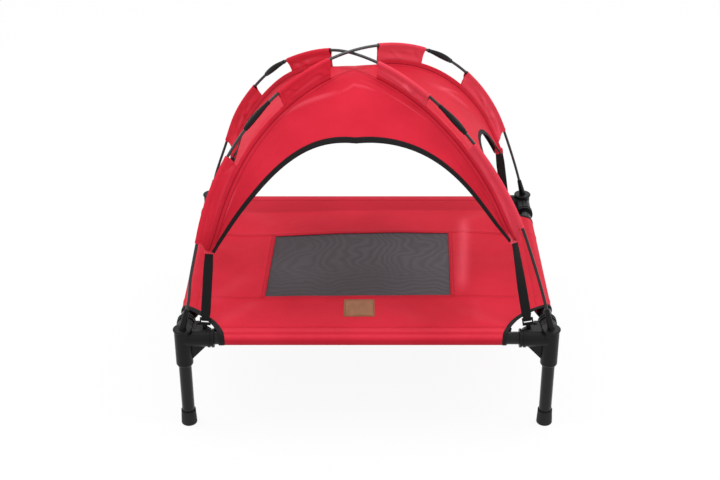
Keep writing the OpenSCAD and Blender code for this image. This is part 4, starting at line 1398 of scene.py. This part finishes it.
# %% [markdown]
# ## Seam strips and sleeves
#
# Along each seam the panels' edges are folded up into a narrow strip. A wide flap stands on the
# strip and is sewn into a sleeve round the rod. It is left open round each joint of the rod, so
# that the rod can be put together. The flap is two plies of cloth side by side, so it is modelled
# as one open sheet that goes up one ply, round the rod and down the other, and then thickened.

# %% Seam strips
CROWN_OPENING = 8.5
# The strip's section: across the seam, and up from it
STRIP_SECTION = np.array([
    (-0.9, -2), (0.9, -2), (0.9, 0.8), (0.95, 2.4), (0.95, 4), (0.9, 8.6), (0.5, 9.8),
    (0, 10.1), (-0.5, 9.8), (-0.9, 8.6), (-0.95, 4), (-0.95, 2.4), (-0.9, 0.8),
]) * MM


def seam_strip(corner):
    """The strip's section swept up a seam, a little wavy along its top."""
    sx, sy = CORNERS[corner]
    angle = np.linspace(TIP_AT, 90 - CROWN_OPENING, 70)
    wave = 0.5 * MM * np.sin(angle * 0.9 + sx) * np.sin(angle * 0.37 + sy)
    foot, up = seam_point(sx, sy, angle), seam_up(sx, sy, angle)
    rise = STRIP_SECTION[None, :, 1, None]
    out = STRIP_SECTION[None, :, 0, None] + wave[:, None, None] * rise / (10 * MM)
    rows = foot[:, None] + up[:, None] * rise + seam_side(sx, sy) * out
    # Painted shade along the strip's foot, where it stands on the panels
    shade_marks = 0.8 * (1 - smooth((STRIP_SECTION[None, :, 1] - 0.8 * MM) / (2.4 * MM)))
    piece = skin("seam_strip_" + corner + "_cloth", rows, wrapped=True, capped=True, doubled=shade_marks)
    return dress(piece, RED_CLOTH, "red_fabric", "canopy", "seam_strip_" + corner)


seam_strips = {corner: seam_strip(corner) for corner in CORNERS}

# %% Sleeves
SLEEVE_T = 0.8 * MM
SLEEVE_R = ROD_R + 0.9 * MM
PLY = 0.55 * MM
STRIP_TOP = 9 * MM
SLEEVE_HEM = 7 * MM
HEM_STANDS = 0.45 * MM
NECK = 6.6 * MM
# The angles that the sleeves cover, below the rods' joints and above them
LOWER_SPANS = {
    "front_left": (17.3, 42), "front_right": (22.8, 47), "back_left": (17.6, 45),
    "back_right": (18.5, 45),
}
UPPER_SPAN = (64, 90 - CROWN_OPENING)


def loop_section():
    """One side of a sleeve's section, from its foot on the strip up to the top of the rod: its
    place across, its height over the rod's middle, and how far it has gone down to the strip."""
    turn = np.radians([-28, -5, 18, 42, 66, 90])
    keel = np.array([PLY, PLY, PLY, PLY, PLY, PLY * 1.2, PLY * 2, 2.3 * MM])
    keel_down = [1, 0.86, 0.72, 0.58, 0.44, 0.3, 0.15, 0]
    across = np.concatenate([keel, SLEEVE_R * np.cos(turn)])
    height = np.concatenate([[-NECK] * len(keel), SLEEVE_R * np.sin(turn)])
    return across, height, np.concatenate([keel_down, np.zeros(len(turn))])


def flap_folds(along, down, seed):
    """Folds of a flap, from a share along it and a share down it: two soft ones that run its
    length, and a few sharp ones that run down it aslant from where it is gathered."""
    draw = np.random.default_rng(int(seed * 10) + 5)
    folds = 1.5 * MM * np.sin(2.2 * math.pi * down + 3 * along + seed) * np.sin(math.pi * along)
    for _ in range(4):
        start, lean = draw.uniform(0.05, 0.95), draw.uniform(-0.45, 0.45)
        reach, way, height = draw.uniform(0.8, 1.2), draw.choice([-1, 1]), draw.uniform(1.4, 2.4)
        folds = folds + crease(along, down, (start, -0.1, start + lean, reach, way * height, 0.05))
    return folds * np.sin(math.pi * np.clip(down, 0, 1)) ** 0.7


def sleeve_part(corner, start, end, seed):
    """An open sheet up one ply, round the rod and down the other, between two angles."""
    sx, sy = CORNERS[corner]
    angle = np.linspace(start, end, 56)
    # A lower front sleeve is cut aslant: its foot begins at the tip, lower than its rod part
    slant = (start - TIP_AT) * (sy < 0) * (start < 30) * (1 - smooth((angle - start) / 12))
    rod, side = rod_point(sx, sy, angle), seam_side(sx, sy)
    up = unit(np.cross(rod_run(sx, sy, angle), side))
    foot = seam_point(sx, sy, angle - slant) + STRIP_TOP * seam_up(sx, sy, angle - slant)
    length = added_up(steps_along(rod))
    hems = smooth((SLEEVE_HEM - length) / MM) + smooth((SLEEVE_HEM - (length[-1] - length)) / MM)
    across, height, down = loop_section()
    fold = flap_folds((length / length[-1])[:, None], down[None], seed)
    rows, shade_marks = [], []
    for ply in (1, -1):
        out = ply * (across[None] + HEM_STANDS * hems[:, None]) + fold
        top = rod[:, None] + up[:, None] * height[None, :, None]
        places = top + (foot[:, None] - top) * down[None, :, None] + side * out[..., None]
        # Painted shade along the flap's foot on its strip and along the hems' sewn lines
        shade = 0.45 * (down[None] > 0.95) + 0.3 * groove(length - SLEEVE_HEM, 2 * MM)[:, None]
        order = slice(None) if ply == 1 else slice(len(down) - 2, None, -1)
        rows.append(places[:, order])
        shade_marks.append(shade[:, order])
    rows, shade_marks = [np.concatenate(halves, axis=1) for halves in (rows, shade_marks)]
    # Painted highlight on the ridges of the flap's folds
    highlit = np.clip(np.concatenate([fold, fold[:, ::-1][:, 1:]], axis=1), 0, None) * 130
    paler = 0.26 * (sx > 0)  # painted light: the right-hand sleeves are painted paler all over, as lit from the right
    return skin("sleeve_part", rows, doubled=shade_marks, rubbed=highlit + paler)


def sleeve(corner, seed):
    """The two parts of a corner's sleeve as one piece."""
    spans = (LOWER_SPANS[corner], UPPER_SPAN)
    parts = [sleeve_part(corner, *span, seed + k) for k, span in enumerate(spans)]
    piece = join("sleeve_" + corner + "_cloth", parts)
    face_out(piece)
    thicken(piece, SLEEVE_T)
    return dress(piece, RED_CLOTH, "red_fabric", "canopy", "sleeve_" + corner)


sleeves = {corner: sleeve(corner, k * 1.7) for k, corner in enumerate(CORNERS)}

# %% [markdown]
# ## Rods and their joints
#
# A rod is in three lengths that join in moulded ferrules. The frame holds them as ten-sided
# tubes. Here each is swept again with a round section, and each ferrule is a spindle: a long fine
# taper at its upper end, its thickest part below the middle, and a blunt lower end with a ring.
# One rod is bent a little further out above its boot, where the weight of the dome bears on it.

# %% Rods
ROD_SIDES = 16
ROD_STEP = 1.5
ROD_END_GAP = 0.5 * MM
ROD_START = 6 * MM
FERRULE_AT = {-1: 55.5, 1: 57.5}  # degrees up the front branches and the back ones


def round_sweep(name, sx, sy, angles, radii):
    """A round skin swept up the rod over a corner, with a radius at each angle."""
    angles, radii = np.asarray(angles, float), np.broadcast_to(radii, len(angles))
    centre = rod_point(sx, sy, angles)
    side = np.broadcast_to(seam_side(sx, sy), centre.shape)
    out = unit(np.cross(unit(rod_run(sx, sy, angles)), side))
    turn = np.linspace(0, 2 * math.pi, ROD_SIDES, endpoint=False)
    ring = side[:, None] * np.cos(turn)[:, None] + out[:, None] * np.sin(turn)[:, None]
    rows = centre[:, None] + ring * radii[:, None, None]
    return skin(name, rows, wrapped=True, capped=True)


def arc_degrees(sx, sy, length):
    """A length along the rod over a corner, in degrees."""
    return math.degrees(length / arc_over(sx, sy)[0])


def rod_foot(sx, sy):
    """The angle at which the rod over a corner begins, inside its boot."""
    return float(bow_angle(arc_over(sx, sy), SEAT_Z + ROD_START))


def rod_length(name, corner, start, end, finish, slot):
    """One length of a rod, from an angle to another up over a corner."""
    angles = np.linspace(start, end, max(3, round(abs(end - start) / ROD_STEP)))
    piece = round_sweep(name + "_rod", *CORNERS[corner], angles, ROD_R)
    return dress(piece, finish, slot, "canopy", name)


for rod, front, back, finish, slot in (
    ("pole_a", "front_left", "back_right", ROD_GREY, "grey_rod"),
    ("pole_b", "front_right", "back_left", ROD_DARK, "dark_rod"),
):
    gap = arc_degrees(*CORNERS[front], ROD_END_GAP)
    for corner, name in ((front, "front"), (back, "back")):
        sx, sy = CORNERS[corner]
        rod_length(f"{rod}_{name}", corner, rod_foot(sx, sy), FERRULE_AT[sy] - gap, finish, slot)
    rod_length(rod + "_middle", front, FERRULE_AT[-1] + gap, 180 - FERRULE_AT[1] - gap, finish, slot)

# %% Ferrules
# A ferrule from its lower end to its upper one: place along it and radius, in millimetres
FERRULE_PROFILE = [
    (-37, 3.35), (-36.4, 4.3), (-35, 4.7), (-33.4, 4.7), (-32.8, 4.3), (-32, 4.3), (-31.2, 4.9),
    (-26, 5.5), (-18, 6.0), (-9, 6.2), (0, 6.1), (9, 5.6), (18, 4.9), (27, 4.25), (33, 3.95),
    (33.6, 4.2), (35.6, 4.2), (36.6, 4.0), (37, 3.35),
]


def ferrule(corner):
    """The moulded joint between two lengths of a rod."""
    sx, sy = CORNERS[corner]
    angles = [FERRULE_AT[sy] + arc_degrees(sx, sy, along * MM) for along, _ in FERRULE_PROFILE]
    piece = round_sweep("joint_" + corner, sx, sy, angles, [r * MM for _, r in FERRULE_PROFILE])
    return dress(piece, BLACK_PLASTIC, "black_plastic", "canopy", "ferrule_" + corner)


for corner in CORNERS:
    ferrule(corner)

# %% [markdown]
# ## Tie-down straps
#
# A strap is a flat elastic webbing. Its lower end goes through the hook's slot, round the upper
# bar and back up behind itself. Its upper end is sewn into the canopy's tip under a small tab of
# cloth. It is gathered in the hook, which is narrower than the webbing, and spreads above it.
# It crosses from the frame to the canopy, so it rides on neither of them.

# %% Straps
# The eye that a hook holds: how far inboard of its leg's axis to the side and to the front or
# back, and its height
EYE = (41 * MM, 26 * MM, RAIL_Z + 8 * MM)
STRAP_SECTION = np.array([
    (-7.5, 0), (-7.2, -0.6), (-6.5, -0.75), (6.5, -0.75), (7.2, -0.6), (7.5, 0), (7.2, 0.6),
    (6.5, 0.75), (-6.5, 0.75), (-7.2, 0.6),
]) * MM
# The webbing's path from its turned-back end, round the hook's bar and up: forwards, and up
STRAP_PATH = np.array([
    (1.0, 52), (1.0, 46), (1.0, 40), (1.05, 34), (1.4, 28), (2.1, 24), (2.6, 20), (2.6, 17), (2.4, 15),
    (1.5, 13.9), (0, 13.5), (-1.5, 13.9), (-2.4, 15), (-2.6, 17), (-2.6, 20), (-2.2, 24), (-1.5, 28),
    (-0.95, 34), (-0.7, 42), (-0.4, 52),
]) * MM
SEWN_IN = 10 * MM
# How much wider the webbing is above its hook than in it, and the share of that which it loses
# again where it is sewn into the tip
WEB_SPREAD, HEAD_SHARE = 0.26, 0.6
# Where each begins, up from the strap's foot or down from its head, and over what length
HOOK_TOP, HOOK_FADE = 20 * MM, 8 * MM
HEAD_FROM, HEAD_FADE = 34 * MM, 30 * MM
TURN_FROM = 40 * MM
HEAD_TURN = {"front_right": math.radians(45)}


def strap_frame(sx, sy):
    """A strap's foot, its length, and its axes: across, through and along."""
    foot = np.array([sx * (HALF_X - EYE[0]), sy * (HALF_Y - EYE[1]), EYE[2]])
    head = seam_point(sx, sy, TIP_AT) - np.array([sx * TIP_HALF / 2, 0, 1.7 * MM])
    along = unit(head - foot)
    across = unit(np.array([along[2], 0, -along[0]]))
    return foot, np.linalg.norm(head - foot), across, np.cross(along, across), along


def turned_web(corner, length, x, y, z):
    """Where a place of the webbing's section comes, at a height up the strap: the webbing is
    gathered in its hook, spreads above it, and on one strap it is turned towards its head."""
    spread = smooth((z - HOOK_TOP) / HOOK_FADE)
    spread = spread - HEAD_SHARE * smooth((z - length + HEAD_FROM) / HEAD_FADE)
    turn = HEAD_TURN.get(corner, 0) * smooth((z - TURN_FROM) / (length - 55 * MM))
    x = x * (1 + WEB_SPREAD * spread)
    return x * np.cos(turn) - y * np.sin(turn), x * np.sin(turn) + y * np.cos(turn)


def strap(corner):
    """The webbing's section swept along its path, from the hook up into the tip."""
    sx, sy = CORNERS[corner]
    foot, length, across, through, along = strap_frame(sx, sy)
    rest = np.linspace(STRAP_PATH[-1, 1] + 8 * MM, length + SEWN_IN, 16)
    bow_out = -0.4 * MM - 0.6 * MM * np.sin(np.linspace(0, math.pi, 16))
    path = np.concatenate([STRAP_PATH, np.stack([bow_out, rest], axis=1)])
    rows = []
    side, face = STRAP_SECTION.T
    for (y, z), (normal_y, normal_z) in zip(path, square_to(path)):
        z_here = z + face * normal_z
        x_here, y_here = turned_web(corner, length, side, y + face * normal_y, z)
        place = x_here[:, None] * across + y_here[:, None] * through + z_here[:, None] * along
        rows.append(foot + place)
    piece = skin("strap_" + corner + "_webbing", rows, wrapped=True, capped=True)
    dress(piece, BLACK_WEBBING, "black_webbing", None, "strap_" + corner)
    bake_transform(piece)


for corner in CORNERS:
    strap(corner)

# %% Tabs over the straps' heads
TAB_SECTION = np.array([
    (-8.2, 0), (-8, -1.3), (-7.2, -1.9), (-3, -2.1), (3, -2.1), (7.2, -1.9), (8, -1.3), (8.2, 0),
    (8, 1.3), (7.2, 1.9), (3, 2.1), (-3, 2.1), (-7.2, 1.9), (-8, 1.3),
]) * MM
# Up the tab: millimetres past the strap's sewn head, and how full its section is there
TAB_PROFILE = [
    (-3, 0.90), (-2.6, 1.0), (-1, 1.05), (3, 1.0), (7, 1.0), (10.5, 0.95), (12.5, 0.8), (13.3, 0.5),
]


def tip_tab(corner):
    """The tab of cloth over a strap's head."""
    sx, sy = CORNERS[corner]
    foot, length, across, through, along = strap_frame(sx, sy)
    rows = []
    for rise, full in TAB_PROFILE:
        height = length + rise * MM
        wide, thick = TAB_SECTION[:, 0] * min(full, 1), TAB_SECTION[:, 1] * (full if rise > 0 else 1)
        x, y = turned_web(corner, length, wide, thick, height)
        rows.append(foot + height * along + x[:, None] * across + y[:, None] * through)
    highlit = 0.75 if corner == "front_right" else 0.2  # how much painted highlight it takes: the front right tab, in the light, is the palest
    piece = skin("tip_tab_" + corner, rows, wrapped=True, capped=True, rubbed=highlit)
    return dress(piece, RED_CLOTH, "red_fabric", "canopy")


tabs = {corner: tip_tab(corner) for corner in CORNERS}

# %% [markdown]
# ## Stitches
#
# Sewing shows as rows of short raised stitches. Each row needs hundreds, so one stitch is
# modelled with few faces, and then an Array repeats it along the length of a helper curve and a
# Curve modifier bends the row to it.

# %% One stitch, and a row of them
STITCH_PITCH = 4.2 * MM
STITCH_RINGS = np.array([(0.5, 0.14), (0.9, 0.3), (3.3, 0.3), (3.7, 0.14)]) * MM
turn = np.linspace(0, 2 * math.pi, 6, endpoint=False)
rings = [points(place, radius * np.cos(turn), radius * np.sin(turn)) for place, radius in STITCH_RINGS]
stitch = skin("stitch", rings, wrapped=True, capped=True)
print("a stitch has", len(stitch.data.polygons), "faces")


def guide(path):
    """A helper curve through points: a ring of edges laid along them, opened and converted."""
    clear_choice()
    bpy.ops.mesh.primitive_circle_add(vertices=len(path), fill_type="NOTHING")
    line = bpy.context.object
    line.data.vertices.foreach_set("co", np.asarray(path, float).reshape(-1))
    ends = {0, len(path) - 1}
    closing = [edge.index for edge in line.data.edges if set(edge.vertices) == ends]
    delete_parts(line, "EDGE", vertices=ends, edges=closing)
    bpy.ops.object.convert(target="CURVE")
    return bpy.context.object


def stitched(path):
    """A row of stitches along a path."""
    line = guide(path)
    choose(stitch)
    bpy.ops.object.duplicate()
    row = bpy.context.object
    add_modifier(row, "ARRAY", fit_type="FIT_CURVE", curve=line, use_relative_offset=False,
                 use_constant_offset=True, constant_offset_displace=(STITCH_PITCH, 0, 0))
    add_modifier(row, "CURVE", object=line, deform_axis="POS_X")
    choose(line)
    bpy.ops.object.delete()
    return row


def sewing(name, paths, finish, slot, body):
    """One piece of stitches along several paths."""
    dress(join(name, [stitched(path) for path in paths]), finish, slot, body)


# %% Rows on the cover and the label
ON_CLOTH = COVER_T / 2 + 0.15 * MM
ON_TAPE = 1.5 * MM
ON_LABEL = 1.0 * MM
ROW_END = 12 * MM
ROW_OVER = 8 * MM
TAPE_SEWN, LABEL_SEWN = 5 * MM, 2.5 * MM
UNDER_RAILS = 8  # points at each end of a corner's edge that lie under the rails, left unsewn


def cover_rows():
    """The paths of the hems' two rows and of the rolls' one row."""
    paths = []
    for edge, sign in zip(WINDOW_Y, (-1, 1)):
        for at in HEM_SEWN:
            v = edge + sign * at
            reaches = [min(float(side_limit(sx, abs(v))), HALF_X + ROW_OVER) for sx in (-1, 1)]
            left, right = [reach - ROW_END for reach in reaches]
            paths.append(rolled(np.linspace(-left, right, 90), v, ON_CLOTH))
    for edge, sign in zip(WINDOW_X, (-1, 1)):
        for at in HEM_SEWN:
            v = np.linspace(WINDOW_Y[0] - ROW_OVER, WINDOW_Y[1] + ROW_OVER, 50)
            paths.append(rolled(edge + sign * at, v, ON_CLOTH))
    for sy in (-1, 1):
        left, right = [float(side_limit(sx, HALF_Y - SEAM_IN)) - ROW_END for sx in (-1, 1)]
        paths.append(rolled(np.linspace(-left, right, 90), sy * (HALF_Y - SEAM_IN), ON_CLOTH))
    for sx in (-1, 1):
        reach = float(end_limit(sx, HALF_X - SEAM_IN)) - ROW_END
        paths.append(rolled(sx * (HALF_X - SEAM_IN), np.linspace(-reach, reach, 70), ON_CLOTH))
    return paths


def tape_row(sx, sy):
    """The path of the row that sews a corner's tape down."""
    edge = cut_edge(sx)
    place = edge + square_to(edge) * TAPE_SEWN
    whole_row = rolled(sx * place[:, 0], sy * place[:, 1], ON_TAPE)
    return whole_row[UNDER_RAILS:-UNDER_RAILS]


tape_paths = [tape_row(*signs) for signs in CORNERS.values()]
label_paths = [label_ring(LABEL_SEWN, ON_LABEL)]
sewing("cover_stitches", cover_rows(), RED_THREAD, "red_fabric", "frame")
sewing("tape_stitches", tape_paths, BLACK_THREAD, "black_binding", "frame")
sewing("label_stitches", label_paths, BROWN_THREAD, "brown_leather", "frame")
print("rows on the tapes and the label:", len(tape_paths) + len(label_paths))


# %% Rows on the canopy
ON_PANEL = CANOPY_T / 2 + 0.1 * MM
ON_ARCH_TAPE = 1.45 * MM
ARCH_SEWN = 6 * MM
STRIP_SEWN_UP, STRIP_SEWN_OUT = 5.5 * MM, 1.1 * MM


def panel_row(side, share):
    """The path of a topstitched row beside one seam of a panel."""
    ups = np.linspace(0.3, 1, 240)
    gaps = panel_places(side, share[:, None], ups[None])[2]
    up = np.array([np.interp(-TOPSTITCH_AT, -gap, ups) for gap in gaps])
    along, angle, gap = panel_places(side, share, up)
    return panel_point(side, along, angle, panel_off(side, share, up, gap) + ON_PANEL)


def arch_row(side):
    """The path of the row that sews an arch's tape down."""
    return under_arch(side, np.linspace(0.01, 0.99, 120), ARCH_TAPE_W - ARCH_SEWN, ON_ARCH_TAPE)


def strip_row(sx, sy, way):
    """The path of the row that sews a flap to its strip, on one side of it."""
    angle = np.linspace(TIP_AT + 0.6, 89.4 - CROWN_OPENING, 130)
    off = seam_up(sx, sy, angle) * STRIP_SEWN_UP + seam_side(sx, sy) * way * STRIP_SEWN_OUT
    return seam_point(sx, sy, angle) + off


halves = (np.linspace(0.04, 0.46, 90), np.linspace(0.54, 0.96, 90))
panel_paths = [panel_row(side, half) for side in ARCHES for half in halves]
strip_paths = [strip_row(*signs, way) for signs in CORNERS.values() for way in (-1, 1)]
arch_paths = [arch_row(side) for side in ARCHES]
sewing("canopy_stitches", panel_paths, RED_THREAD, "red_fabric", "canopy")
sewing("seam_stitches", strip_paths, RED_THREAD, "red_fabric", "canopy")
sewing("arch_tape_stitches", arch_paths, BLACK_THREAD, "black_binding", "canopy")
print("rows on the canopy:", len(panel_paths) + len(strip_paths) + len(arch_paths))
choose(stitch)
bpy.ops.object.delete()

# %% [markdown]
# ## Finishes of the hard pieces
#
# These pieces keep the frame's own shape. They only take their finish.

# %% Dress the frame's pieces
HARD = {
    "rail_": BLACK_TUBE, "leg_": BLACK_TUBE, "corner_": BLACK_PLASTIC, "foot_": BLACK_RUBBER,
    "pole_tip_": BLACK_PLASTIC, "hook_": BLACK_PLASTIC,
}
for name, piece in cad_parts.items():
    for start, finish in HARD.items():
        if name.startswith(start) and not piece.hide_render:
            paint(piece, finish)
print("frame pieces shown:", sum(not o.hide_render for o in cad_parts.values()))

# %% [markdown]
# ## Sizes at the end
#
# The areas of the cover, the canopy and the sleeves are printed, with the sleeves' flat cuts.

def cloth_area(piece):
    """Half the area of a thin closed piece, which is the area of its cloth."""
    return sum(face.area for face in piece.data.polygons) / 2


print("cover", round(cloth_area(cover), 4), "canopy", round(cloth_area(canopy), 4))


def path_length(path):
    """The length along a path."""
    return float(steps_along(path).sum())


def sleeve_flat(corner):
    """A sleeve's flat cut: the length of its two parts, and its width round the rod."""
    signs = CORNERS[corner]
    spans = (LOWER_SPANS[corner], UPPER_SPAN)
    long = sum(path_length(rod_point(*signs, np.linspace(*span, 40))) for span in spans)
    angle = np.mean(LOWER_SPANS[corner])
    foot = seam_point(*signs, angle) + STRIP_TOP * seam_up(*signs, angle)
    drop = np.linalg.norm(rod_point(*signs, angle) - foot)
    return long, 2 * drop + math.pi * SLEEVE_R


over_crown = 2 * path_length(seam_point(1, 1, np.linspace(TIP_AT, 90, 60)))
list(arch_tapes.values()) + list(tabs.values())
for corner, sleeve_piece in sleeves.items():
    flat = sleeve_flat(corner)
    print("sleeve", corner, "is cut", np.round(flat, 3), "area", round(cloth_area(sleeve_piece), 4))
    min(cloth_area(sleeve_piece), flat[0] * flat[1])
